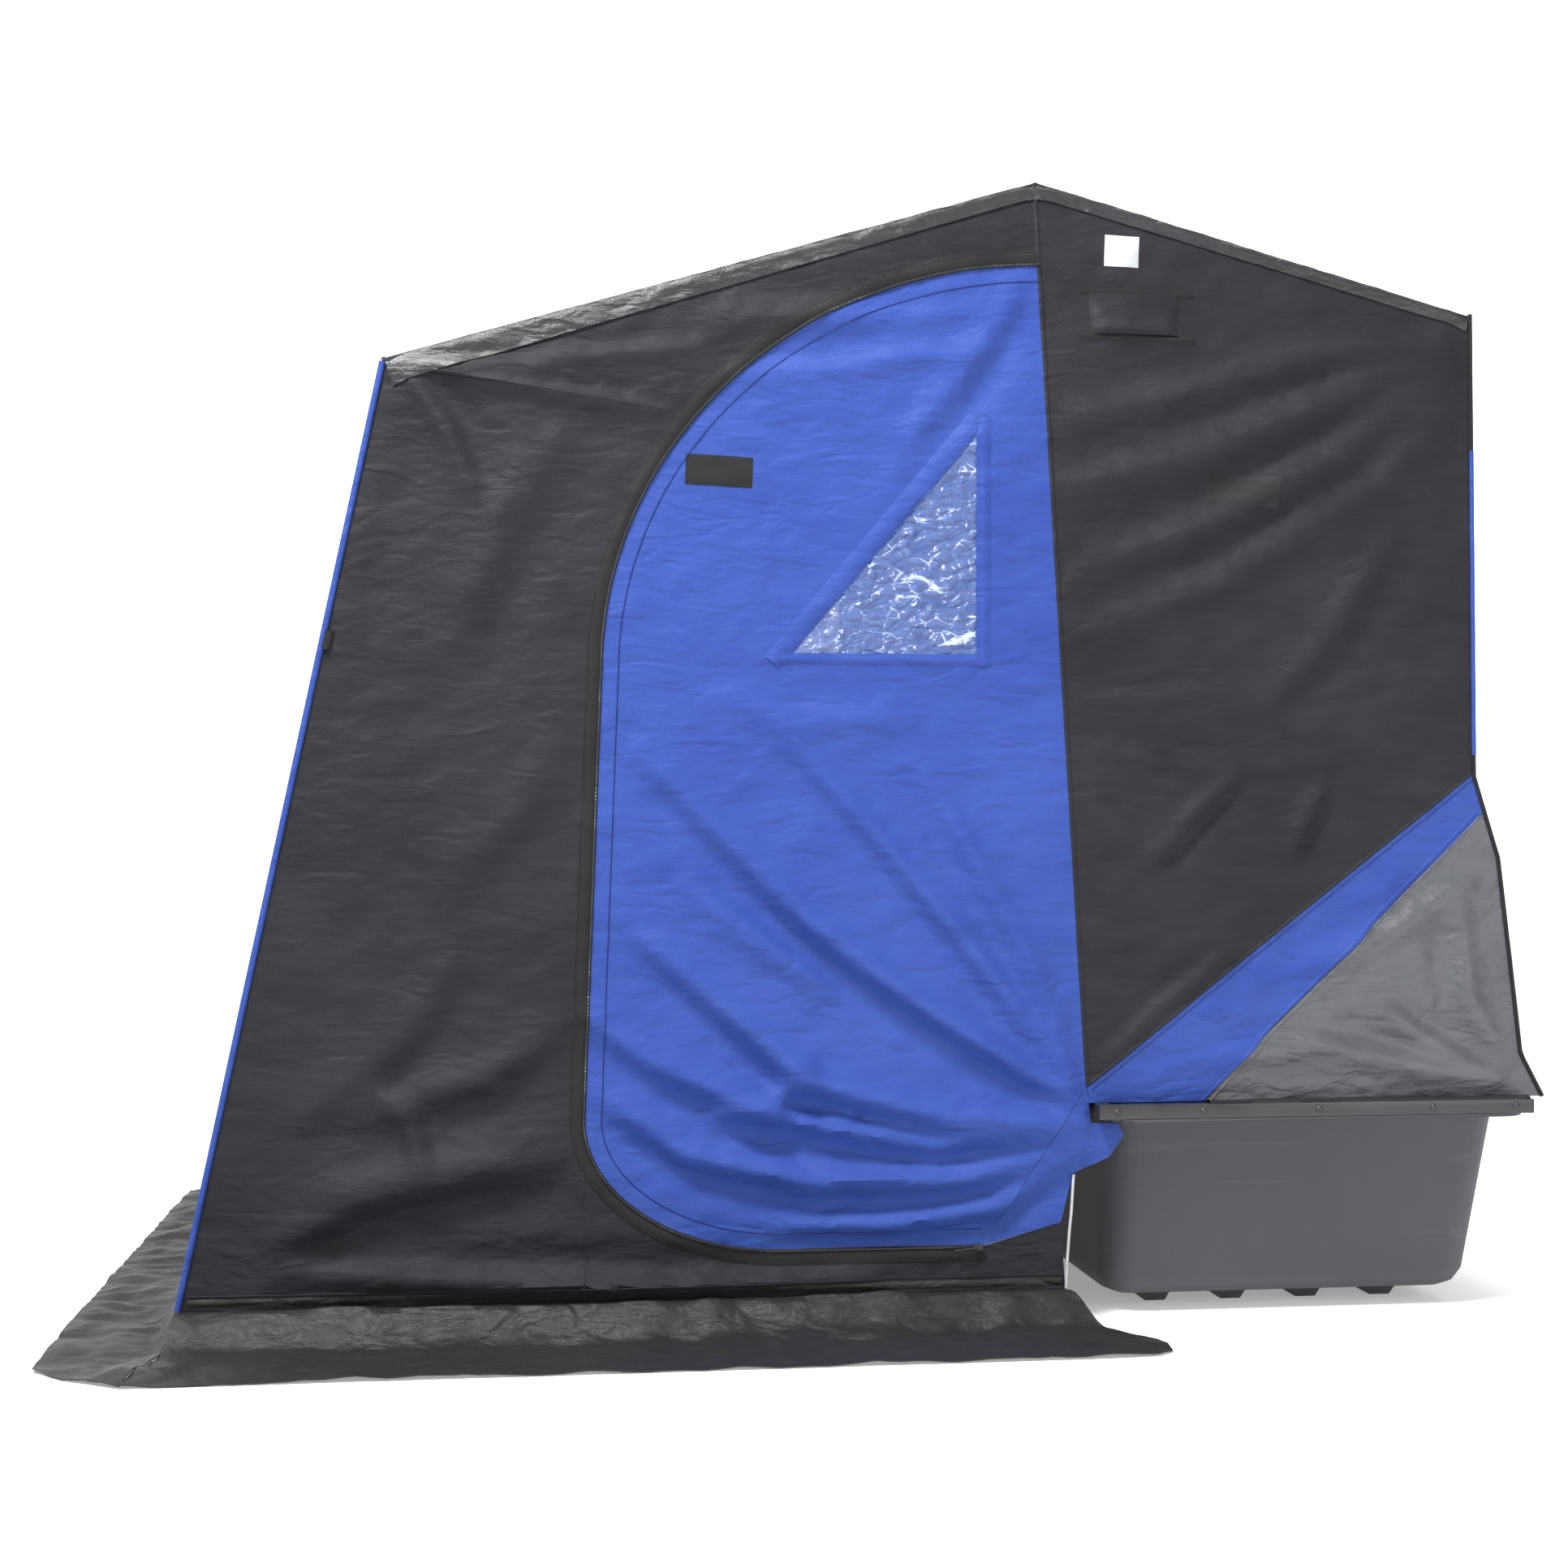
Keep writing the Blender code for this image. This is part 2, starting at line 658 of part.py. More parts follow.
def side_panel(name, outline, side, sign, finish):
    y = sorted((sign * WALL_Y, sign * (WALL_Y - PANEL_THICK)))
    return add_object(name + "_" + side, prism([tuple(p) for p in outline], *y), finish)


def cross_panel(name, line, y_half, finish, level=False):
    """A panel that runs right across the shelter, from its outer line in the XZ plane."""
    inside = offset_line(line, -PANEL_THICK)
    if level:
        inside = level_ends(inside, line)
    outline = [tuple(p) for p in line + inside[::-1]]
    return add_object(name, prism(outline, -y_half, y_half), finish)


def shortened(start, end, by_start, by_end):
    along = (end - start).normalized()
    return [start + along * by_start, end - along * by_end]


def cross_panels(finishes):
    line = shell_line()
    edge = PANEL_THICK + SEAM_GAP
    hem = at_height(line[0], line[1], HEM_HEIGHT)
    rear_line = [line[3] - Vector((0, edge))] + line[4:]
    return {
        "front_wall": cross_panel(
            "front_wall", shortened(hem, line[1], 0, edge), WALL_Y, finishes["grey_fabric"], True
        ),
        "roof_front": cross_panel(
            "roof_front", shortened(line[1], line[2], 0, SEAM_GAP), WALL_Y, finishes["roof_fabric"]
        ),
        "roof_rear": cross_panel(
            "roof_rear", shortened(line[2], line[3], SEAM_GAP, 0), WALL_Y, finishes["roof_fabric"]
        ),
        "rear_wall": cross_panel("rear_wall", rear_line, WALL_Y, finishes["black_fabric"], True),
    }


# ---------------------------------------------------------------- doors, vents and skirt


def door_outline():
    arc, low = zip_path()
    seam_foot, seam_head = seam()
    foot = Vector((seam_foot.x - SEAM_GAP, seam_foot.y + SEAM_GAP * 3))
    head = at_height(foot, seam_head - Vector((SEAM_GAP, 0)), arc[0].y)
    sill_end = low[-1] + Vector((-SEAM_GAP, 0))
    return [head] + arc[1:] + low[:-1] + [sill_end, foot]


def window_outline(grow):
    """The triangle of the window; grow moves its sides outwards."""
    rear, width = PIVOT_X + WINDOW_REAR_X, WINDOW_WIDTH
    slope = (WINDOW_TOP_Z - WINDOW_SILL_Z) / width
    spread = grow * ((1 + slope * slope) ** 0.5 + 1) / slope
    rise = grow * ((1 + slope * slope) ** 0.5 + slope)
    return [
        (rear - width - spread, WINDOW_SILL_Z - grow),
        (rear + grow, WINDOW_SILL_Z - grow),
        (rear + grow, WINDOW_TOP_Z + rise),
    ]


def door(side, sign, finishes):
    y = sorted((sign * WALL_Y, sign * (WALL_Y - PANEL_THICK)))
    panel = add_object("door_" + side, prism([tuple(p) for p in door_outline()], *y), finishes["blue_fabric"])
    cut(panel, prism(window_outline(0), y[0] - 0.01, y[1] + 0.01))
    pane = prism(window_outline(-GAP), y[0] + 0.001, y[1] - 0.001)
    window = add_object("window_" + side, pane, finishes["clear_vinyl"])
    face = sign * (WALL_Y + GAP)
    pull_y = sorted((face, face + sign * PULL_THICK))
    x = PIVOT_X + SILL_END_X
    z = DOOR_SILL_Z - PULL_WIDTH
    pull = box((x - PULL_LENGTH, pull_y[0], z - PULL_WIDTH / 2), (x, pull_y[1], z + PULL_WIDTH / 2))
    return panel, window, add_object("zip_pull_" + side, pull, finishes["black_plastic"])


def vent_hood(side, sign, finishes):
    """A hood whose lower edge stands out from the wall."""
    face = WALL_Y + GAP
    x = PIVOT_X + VENT_X
    z_low, z_high = VENT_Z - VENT_HEIGHT / 2, VENT_Z + VENT_HEIGHT / 2
    profile = [
        (face, z_low),
        (face + VENT_DEPTH, z_low),
        (face + VENT_DEPTH * 0.9, z_low + 0.01),
        (face + 0.003, z_high),
        (face, z_high),
    ]
    hood = prism(profile, x - VENT_WIDTH / 2, x + VENT_WIDTH / 2, lambda y, z, along: (along, sign * y, z))
    return add_object("vent_hood_" + side, hood, finishes["black_fabric"])


def skirt(name, hem, outer, finish):
    """A strip of fabric from the hem, down to the ground and out over it; hem and outer are two points each."""
    slope = []
    for inner_point, outer_point in zip(hem, outer):
        flat = Vector((outer_point.x - inner_point.x, outer_point.y - inner_point.y, 0))
        reach = min(SKIRT_SLOPE / max(SKIRT_SIDE, SKIRT_FRONT), 1)
        slope.append(Vector((inner_point.x, inner_point.y, 0)) + flat * reach)
    rows = [hem, slope, outer]
    lift = Vector((0, 0, PANEL_THICK))
    made = bmesh.new()
    lower = [[made.verts.new(p) for p in row] for row in rows]
    upper = [[made.verts.new(p + lift) for p in row] for row in rows]
    for i in range(2):
        made.faces.new((lower[i][0], lower[i][1], lower[i + 1][1], lower[i + 1][0]))
        made.faces.new((upper[i][0], upper[i + 1][0], upper[i + 1][1], upper[i][1]))
        for k in (0, 1):
            made.faces.new((lower[i][k], lower[i + 1][k], upper[i + 1][k], upper[i][k]))
    made.faces.new((lower[0][0], lower[0][1], upper[0][1], upper[0][0]))
    made.faces.new((lower[2][0], lower[2][1], upper[2][1], upper[2][0]))
    return add_object(name, made, finish)


def skirts(finishes):
    line = shell_line()
    hem_point = at_height(line[0], line[1], HEM_HEIGHT)
    hem_z = HEM_HEIGHT - PANEL_THICK - GAP
    front_x, front_out = hem_point.x, hem_point.x - SKIRT_FRONT
    side_out = WALL_Y + SKIRT_SIDE
    rear_x = PIVOT_X + HEM_REAR_X
    mitre = SEAM_GAP
    made = [
        skirt(
            "front_skirt",
            [Vector((front_x, -WALL_Y, hem_z)), Vector((front_x, WALL_Y, hem_z))],
            [Vector((front_out, -side_out, 0)), Vector((front_out, side_out, 0))],
            finishes["roof_fabric"],
        )
    ]
    for side, sign in SIDES.items():
        made.append(
            skirt(
                "side_skirt_" + side,
                [Vector((front_x + mitre, sign * WALL_Y, hem_z)), Vector((rear_x, sign * WALL_Y, hem_z))],
                [
                    Vector((front_out + 2 * mitre, sign * side_out, 0)),
                    Vector((rear_x + SKIRT_TAIL, sign * side_out, 0)),
                ],
                finishes["roof_fabric"],
            )
        )
    return made


# ---------------------------------------------------------------- seats


def seat_rails(finishes):
    half = SLED_LENGTH / 2 + FLANGE_END - RAIL - GAP
    for name, sign in (("front", -1), ("rear", 1)):
        x = SLED_MIDDLE_X + sign * SEAT_RAIL_SPREAD / 2
        low = (x - RAIL / 2, -half, SLED_RIM_HEIGHT + GAP)
        tube_between("seat_rail_" + name, low, (x + RAIL / 2, half, RIM_TOP), 1, finishes["aluminium"])


def seat(side, sign, finishes):
    """Carriage, swivelling pan, pad and folding backrest of one seat."""
    x, y = SLED_MIDDLE_X, sign * SEAT_PITCH / 2
    top = CARRIAGE_Z + CARRIAGE_THICK
    carriage = add_object(
        "seat_carriage_" + side,
        box(
            (x - CARRIAGE_LENGTH / 2, y - CARRIAGE_WIDTH / 2, CARRIAGE_Z),
            (x + CARRIAGE_LENGTH / 2, y + CARRIAGE_WIDTH / 2, top),
        ),
        finishes["aluminium"],
    )
    cut(carriage, cylinder(POST_RADIUS, (x, y, top - CARRIAGE_THICK / 2), (x, y, top + POST_HEIGHT)), "UNION")
    half, deep = PAD_SIZE / 2, PAD_DEPTH / 2
    ear_x = BACK_PIN_X + 0.012
    profile = [
        (x - deep + 0.02, PAN_Z),
        (ear_x, PAN_Z),
        (ear_x, PAN_Z + PAN_THICK),
        (x - deep + 0.02, PAN_Z + PAN_THICK),
    ]
    pan = add_object("seat_pan_" + side, prism(profile, y - half + 0.02, y + half - 0.02), finishes["aluminium"])
    for end in (-1, 1):
        ear_y = sorted((y + end * (half - 0.02 - PAN_THICK), y + end * (half - 0.02)))
        ear = box(
            (BACK_PIN_X - 0.015, ear_y[0], PAN_Z + PAN_THICK / 2),
            (ear_x, ear_y[1], BACK_PIN_Z + 0.015),
        )
        cut(pan, ear, "UNION")
    pad = add_object(
        "seat_pad_" + side,
        box((x - deep, y - half, PAD_Z), (x + deep, y + half, PAD_Z + PAD_THICK)),
        finishes["seat_fabric"],
        0.012,
    )
    back_half = half - 0.02 - PAN_THICK - GAP * 2
    back = add_object(
        "seat_back_" + side,
        box(
            (BACK_PIN_X - BACK_THICK / 2, y - back_half, BACK_PIN_Z - 0.02),
            (BACK_PIN_X + BACK_THICK / 2, y + back_half, BACK_PIN_Z - 0.02 + BACK_HEIGHT),
        ),
        finishes["seat_fabric"],
        0.012,
    )
    slider = empty("seat_slide_" + side, (x, y, CARRIAGE_Z))
    swivel = empty("seat_swivel_" + side, (x, y, PAN_Z))
    hinge = empty("seat_back_hinge_" + side, (BACK_PIN_X, y, BACK_PIN_Z))
    hang_on([carriage, swivel], slider)
    hang_on([pan, pad, hinge], swivel)
    hang_on([back], hinge)


# ---------------------------------------------------------------- the whole shelter


def main():
    for obj in list(bpy.data.objects):
        bpy.data.objects.remove(obj)
    finishes = finish_set()
    sled_tub(finishes)
    rim_rails(finishes)
    seat_rails(finishes)
    pivot = Vector((PIVOT_X, 0, PIVOT_HEIGHT))
    crossing = cross_panels(finishes)
    skirt_pieces = skirts(finishes)
    outlines = side_outlines()
    on_mid = [crossing["roof_front"]]
    for side, sign in SIDES.items():
        pivot_bracket(side, sign, finishes)
        seat(side, sign, finishes)
        vent_hood(side, sign, finishes)
        panels = {
            name: side_panel(name, outline, side, sign, finishes[finish])
            for name, (outline, finish) in outlines.items()
        }
        panel, window, pull = door(side, sign, finishes)
        foot, head = seam()
        hinge = empty("door_hinge_" + side, (foot.x, sign * WALL_Y, foot.y))
        hang_on([panel, window], hinge)
        on_mid += [panels["gable_panel"], panels["front_panel"], panels["hem_panel"], hinge, pull]
    cargo = {
        "rear": [crossing["roof_rear"]],
        "mid": on_mid,
        "front": [crossing["front_wall"]],
        "ground": skirt_pieces[:1],
    }
    for name, pole in POLES.items():
        tubes = [outer_tube(name, pole, side, sign, finishes) for side, sign in SIDES.items()]
        hinge = empty(name + "_pivot", pivot)
        hang_on(tubes + [bow(name, pole, finishes)] + cargo[name], hinge)


main()
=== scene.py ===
"""Looks of a flip-over ice fishing shelter: a sewn canopy over telescoping bows on a moulded sled.

Metres, in the shelter's own frame: +X towards the sled at the rear, -Y the left side, +Z up.
"""

import logging
from collections.abc import Callable, Sequence
from dataclasses import dataclass, field
from enum import Enum
from math import cos, pi, radians, sin
from typing import Any

import bmesh
import bpy
import numpy as np
from mathutils import Matrix, Vector, noise
from mathutils.bvhtree import BVHTree


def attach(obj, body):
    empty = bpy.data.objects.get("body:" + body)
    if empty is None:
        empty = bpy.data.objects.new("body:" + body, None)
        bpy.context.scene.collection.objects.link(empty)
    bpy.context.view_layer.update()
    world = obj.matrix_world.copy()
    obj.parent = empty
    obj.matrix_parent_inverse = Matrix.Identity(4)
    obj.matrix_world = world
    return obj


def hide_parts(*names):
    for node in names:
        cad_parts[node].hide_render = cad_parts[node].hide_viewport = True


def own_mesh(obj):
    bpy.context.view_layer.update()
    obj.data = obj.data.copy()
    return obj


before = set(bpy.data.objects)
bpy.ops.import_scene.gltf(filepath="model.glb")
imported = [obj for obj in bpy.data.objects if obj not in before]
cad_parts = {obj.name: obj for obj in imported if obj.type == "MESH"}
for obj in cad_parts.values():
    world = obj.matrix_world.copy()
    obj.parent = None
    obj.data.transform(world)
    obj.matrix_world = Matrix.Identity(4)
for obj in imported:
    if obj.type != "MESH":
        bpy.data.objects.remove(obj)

LOG = logging.getLogger("shelter")
Point = tuple[float, float]
Colour = tuple[float, float, float]

WALL = 0.78  # from the middle plane to a side wall's outer face
PIVOT = (0.4896, 0.0, 0.42)
ARM_SQUARE = (0.9973, 0.0, 0.0732)  # square to the middle bow's arm, towards the rear
RIM_TOP = 0.3872
CLOTH = 0.0022
FOLDING = 2.1  # how much stronger every fold stands out than its own height
NET = 0.012  # the distance between the cuts that let a panel drape
FAR = 9.0  # further than any place on the shelter
RIM_BAR = 0.8075  # from the middle plane to the middle of a side rim bar
HEEL = -0.4177  # the front edge of the door's heel
HEM = (-1.0866, 0.062)
EAVE = (-0.7597, 1.6676)
PEAK = (0.3740, 2.0116)
REAR_TOP = (1.1785, 1.7983)
REAR_LINE = ((1.1785, 0.96), (1.2226, 0.814), (1.2616, 0.464), (1.3016, 0.3872))
SEAM = ((0.4616, 0.418), (0.3716, 2.0067))


class Side(Enum):
    """A side of the shelter, with the sign of its Y."""

    LEFT = -1
    RIGHT = 1

    @property
    def label(self) -> str:
        """The side's name as the frame's nodes have it."""
        return self.name.lower()


# ---------------------------------------------------------------- shading


class Shade:
    """A node's output whose Python operators add Math nodes."""

    def __init__(self, recipe: "Recipe", socket: bpy.types.NodeSocket) -> None:
        """Keep the output and the recipe that it belongs to."""
        self.recipe = recipe
        self.socket = socket

    def _math(self, operation: str, first: Any, second: Any = 0.0) -> "Shade":
        """Add one Math node.

        Args:
            operation: the node's operation.
            first: a number or a shade.
            second: a number or a shade.

        Returns:
            The node's value.
        """
        return self.recipe.node("ShaderNodeMath", {"operation": operation}, {0: first, 1: second})

    def __add__(self, other: Any) -> "Shade":
        """The sum."""
        return self._math("ADD", self, other)

    __radd__ = __add__

    def __sub__(self, other: Any) -> "Shade":
        """The difference."""
        return self._math("SUBTRACT", self, other)

    def __rsub__(self, other: Any) -> "Shade":
        """The difference from a number."""
        return self._math("SUBTRACT", other, self)

    def __mul__(self, other: Any) -> "Shade":
        """The product."""
        return self._math("MULTIPLY", self, other)

    __rmul__ = __mul__

    def wave(self) -> "Shade":
        """The sine."""
        return self._math("SINE", self)

    def size(self) -> "Shade":
        """The value without its sign."""
        return self._math("ABSOLUTE", self)

    def above(self, edge: float, soft: float) -> "Shade":
        """A mask that rises from 0 to 1 over a soft edge.

        Args:
            edge: where the mask is half.
            soft: the width of its rise.

        Returns:
            The mask.
        """
        settings = {"interpolation_type": "SMOOTHSTEP"}
        limits = {0: self, 1: edge - soft / 2, 2: edge + soft / 2}
        return self.recipe.node("ShaderNodeMapRange", settings, limits)


class Recipe:
    """One material's nodes."""

    def __init__(self, name: str) -> None:
        """Start a material with its plain shader.

        Args:
            name: the material's name.
        """
        self.material = bpy.data.materials.new(name)
        self.material.use_nodes = True
        self.tree = self.material.node_tree
        self.shader = self.tree.nodes["Principled BSDF"]

    def node(
        self,
        kind: str,
        settings: dict | None = None,
        values: dict | None = None,
        output: Any = 0,
    ) -> Shade:
        """Add a node of any kind.

        Args:
            kind: the node's type.
            settings: its properties, and "stops" for a ramp's positions and colours.
            values: numbers, colours or shades by socket.
            output: the output that is returned.

        Returns:
            The output.
        """
        made = self.tree.nodes.new(kind)
        for key, value in (settings or {}).items():
            if key == "stops":
                self._stops(made.color_ramp, value)
            else:
                setattr(made, key, value)
        self._fill(made, values or {})
        return Shade(self, made.outputs[output])

    def _stops(self, ramp: bpy.types.ColorRamp, stops: Sequence[tuple[float, Colour]]) -> None:
        """Give a ramp its stops.

        Args:
            ramp: the ramp.
            stops: positions from 0 to 1, each with its colour.
        """
        while len(ramp.elements) < len(stops):
            ramp.elements.new(1.0)
        for element, (position, colour) in zip(ramp.elements, stops):
            element.position = position
            element.color = (*colour, 1)

    def _fill(self, node: bpy.types.Node, values: dict) -> None:
        """Set or link a node's inputs.

        Args:
            node: the node.
            values: numbers, colours or shades by socket.
        """
        for key, value in values.items():
            if isinstance(value, Shade):
                self.tree.links.new(value.socket, node.inputs[key])
            else:
                node.inputs[key].default_value = value

    def surface(self, values: dict) -> bpy.types.Material:
        """Set or link the shader's own inputs.

        Args:
            values: numbers, colours or shades by input name.

        Returns:
            The material.
        """
        self._fill(self.shader, values)
        return self.material

    def place(self) -> Shade:
        """Object coordinates."""
        return self.node("ShaderNodeTexCoord", output="Object")

    def stretched(self, place: Shade, scale: Colour, turn: Colour = (0, 0, 0)) -> Shade:
        """Coordinates turned and scaled along each axis."""
        return self.node("ShaderNodeMapping", {}, {0: place, "Rotation": turn, "Scale": scale})

    def speckle(self, place: Shade, scale: float, detail: float = 2.0, warp: float = 0.0) -> Shade:
        """Noise with a value from 0 to 1."""
        settings = {"Vector": place, "Scale": scale, "Detail": detail, "Distortion": warp}
        return self.node("ShaderNodeTexNoise", {}, settings)

    def blend(self, share: Shade, first: Colour, second: Colour) -> Shade:
        """Two colours mixed by a share."""
        stops = {"stops": [(0.0, first), (1.0, second)]}
        return self.node("ShaderNodeValToRGB", stops, {0: share})

    def bump(
        self, height: Shade, distance: float, strength: float = 1.0, normal: Shade | None = None
    ) -> Shade:
        """A normal from a height.

        Args:
            height: the height, from 0 to 1.
            distance: what a height of 1 stands for, in metres.
            strength: how much of it shows.
            normal: a normal that this one is added to.

        Returns:
            The normal.
        """
        values = {"Height": height, "Distance": distance, "Strength": strength}
        if normal:
            values["Normal"] = normal
        return self.node("ShaderNodeBump", {}, values)


@dataclass(frozen=True)
class Look:
    """A material with the name of the slot that it belongs to."""

    material: bpy.types.Material
    slot: str


@dataclass(frozen=True)
class WovenCloth:
    """A coated woven cloth: its shades, its gloss, and how coarse and how crumpled it is, with a painted
    highlight along its creases.
    """

    name: str
    slot: str
    dark: Colour
    light: Colour
    roughness: float
    sheen: float = 0.03
    thread: float = 0.0021
    crumple: float = 1.0
    coat: float = 0.0
    gloss: float = 0.2

    def look(self) -> Look:
        """Make the material.

        Returns:
            The material with its slot.
        """
        recipe = Recipe(self.name)
        place = recipe.place()
        axes = [recipe.node("ShaderNodeSeparateXYZ", {}, {0: place}, i) for i in range(3)]
        turns = 2 * pi / self.thread
        weave = sum([(axis * turns).wave() for axis in axes[1:]], (axes[0] * turns).wave())
        grain = recipe.speckle(place, 650.0)
        broad = recipe.speckle(place, 2.6, 3.0, 0.6)
        slanted = recipe.stretched(place, (5.0, 5.0, 14.0), (0.0, 0.7, 0.0))
        rub = recipe.speckle(slanted, 1.0, 4.0, 1.2)
        folds_and_highlight = self._creases(recipe, place, 2.4, 0.5) * 0.6 + self._creases(recipe, place, 6.5, -0.6) * 0.4
        # painted highlight: the colour is lightened along each crease, where the crease height is low, as
        # if light caught the fold
        share = broad * 0.55 + rub * 0.45 + (grain - 0.5) * 0.55 + (1 - folds_and_highlight) * 0.12 - 0.08
        rough = self.roughness + (grain - 0.5) * 0.16 - (rub - 0.5) * 0.18
        normal = recipe.bump(folds_and_highlight, 0.0042 * self.crumple, 0.7)
        normal = recipe.bump(recipe.speckle(slanted, 3.2, 3.0, 0.8), 0.0045 * self.crumple, 0.7, normal)
        normal = recipe.bump(weave * 0.2 + grain * 0.7, 0.0005, 0.6, normal)
        colour = recipe.blend(share, self.dark, self.light)
        values = {"Base Color": colour, "Roughness": rough, "Normal": normal}
        values |= {"Sheen Weight": self.sheen, "Sheen Roughness": 0.45, "Coat Weight": self.coat}
        values |= {"Coat Roughness": 0.35, "Specular IOR Level": self.gloss}
        return Look(recipe.surface(values), self.slot)

    def _creases(self, recipe: Recipe, place: Shade, scale: float, turn: float) -> Shade:
        """Height of long slanting creases, 0 at a crease and rising away from it."""
        slanted = recipe.stretched(place, (1.0, 1.0, 2.6), (0.0, turn, 0.0))
        return ((recipe.speckle(slanted, scale, 2.5, 0.5) - 0.5) * 7.0).size().above(0.5, 1.0)


@dataclass(frozen=True)
class MouldedPlastic:
    """Rotomoulded or injected plastic with a pebbled face and rubbed patches."""

    name: str
    slot: str
    dark: Colour
    light: Colour
    roughness: float
    pebble: float
    depth: float = 0.0005

    def look(self) -> Look:
        """Make the material.

        Returns:
            The material with its slot.
        """
        recipe = Recipe(self.name)
        place = recipe.place()
        pebbles = recipe.node("ShaderNodeTexVoronoi", {}, {"Vector": place, "Scale": self.pebble})
        grain = recipe.speckle(place, self.pebble * 1.7, 3.0)
        broad = recipe.speckle(place, 3.4, 4.0, 0.5)
        drag = recipe.speckle(recipe.stretched(place, (2.0, 30.0, 55.0)), 1.0, 3.0)
        scuffs = drag.above(0.68, 0.12)
        share = broad * 0.5 + grain * 0.45 + scuffs * 0.18
        rough = self.roughness + (grain - 0.5) * 0.2 - scuffs * 0.08
        normal = recipe.bump(broad, 0.004, 0.35)
        normal = recipe.bump(pebbles * 0.6 + grain * 0.6, self.depth, 0.8, normal)
        colour = recipe.blend(share, self.dark, self.light)
        values = {"Base Color": colour, "Roughness": rough, "Normal": normal}
        return Look(recipe.surface(values | {"Specular IOR Level": 0.45}), self.slot)


@dataclass(frozen=True)
class DrawnMetal:
    """Drawn or rolled metal: bare, or under a coat of paint that shows edge wear."""

    name: str
    slot: str
    dark: Colour
    light: Colour
    roughness: float
    metallic: float
    draw: Colour = (3.0, 240.0, 240.0)

    def look(self) -> Look:
        """Make the material.

        Returns:
            The material with its slot.
        """
        recipe = Recipe(self.name)
        place = recipe.place()
        lines = recipe.speckle(recipe.stretched(place, self.draw), 1.0, 2.0)
        stain = recipe.speckle(place, 14.0, 5.0, 0.4)
        nicks = recipe.speckle(place, 90.0, 2.0).above(0.71, 0.05)
        share = lines * 0.45 + stain * 0.55 + nicks * 0.3
        rough = self.roughness + (lines - 0.5) * 0.16 + (stain - 0.5) * 0.2
        normal = recipe.bump(lines * 0.5 + stain * 0.5 - nicks * 0.4, 0.0002, 0.6)
        colour = recipe.blend(share, self.dark, self.light)
        values = {"Base Color": colour, "Roughness": rough, "Normal": normal}
        return Look(recipe.surface(values | {"Metallic": self.metallic}), self.slot)


@dataclass(frozen=True)
class ClearFilm:
    """Clear window film: crinkled and hazy, its colour a painted blue of the lit cloth beyond it, with
    painted glints on its crests.
    """

    name: str
    slot: str
    dark: Colour
    light: Colour

    def look(self) -> Look:
        """Make the material.

        Returns:
            The material with its slot.
        """
        recipe = Recipe(self.name)
        place = recipe.place()
        bent = recipe.speckle(recipe.stretched(place, (16.0, 16.0, 28.0), (0.0, 0.6, 0.0)), 1.0, 4.0, 1.6)
        cells = {"feature": "DISTANCE_TO_EDGE"}
        values = {"Vector": recipe.stretched(place, (34.0, 34.0, 52.0), (0.0, 0.6, 0.0)), "Scale": 1.0}
        facets = recipe.node("ShaderNodeTexVoronoi", cells, values)
        height = bent * 0.8 + facets * 0.6
        # painted glints: the film is lightened towards white and made more opaque on the crests of its
        # crinkles, and lightened a little wherever it is raised, as painted highlights
        painted_glint = (bent.above(0.68, 0.06) + (1 - facets.above(0.035, 0.04)) * bent.above(0.56, 0.12)) * 0.7
        normal = recipe.bump(height, 0.02, 0.9)
        values = {"Base Color": recipe.blend(bent * 0.3 + painted_glint * 0.8, self.dark, self.light)}
        values |= {"Roughness": 0.06 + bent * 0.1, "Alpha": 0.55 + painted_glint * 0.4, "Normal": normal}
        return Look(recipe.surface(values | {"Specular IOR Level": 0.45, "Coat Weight": 0.15}), self.slot)


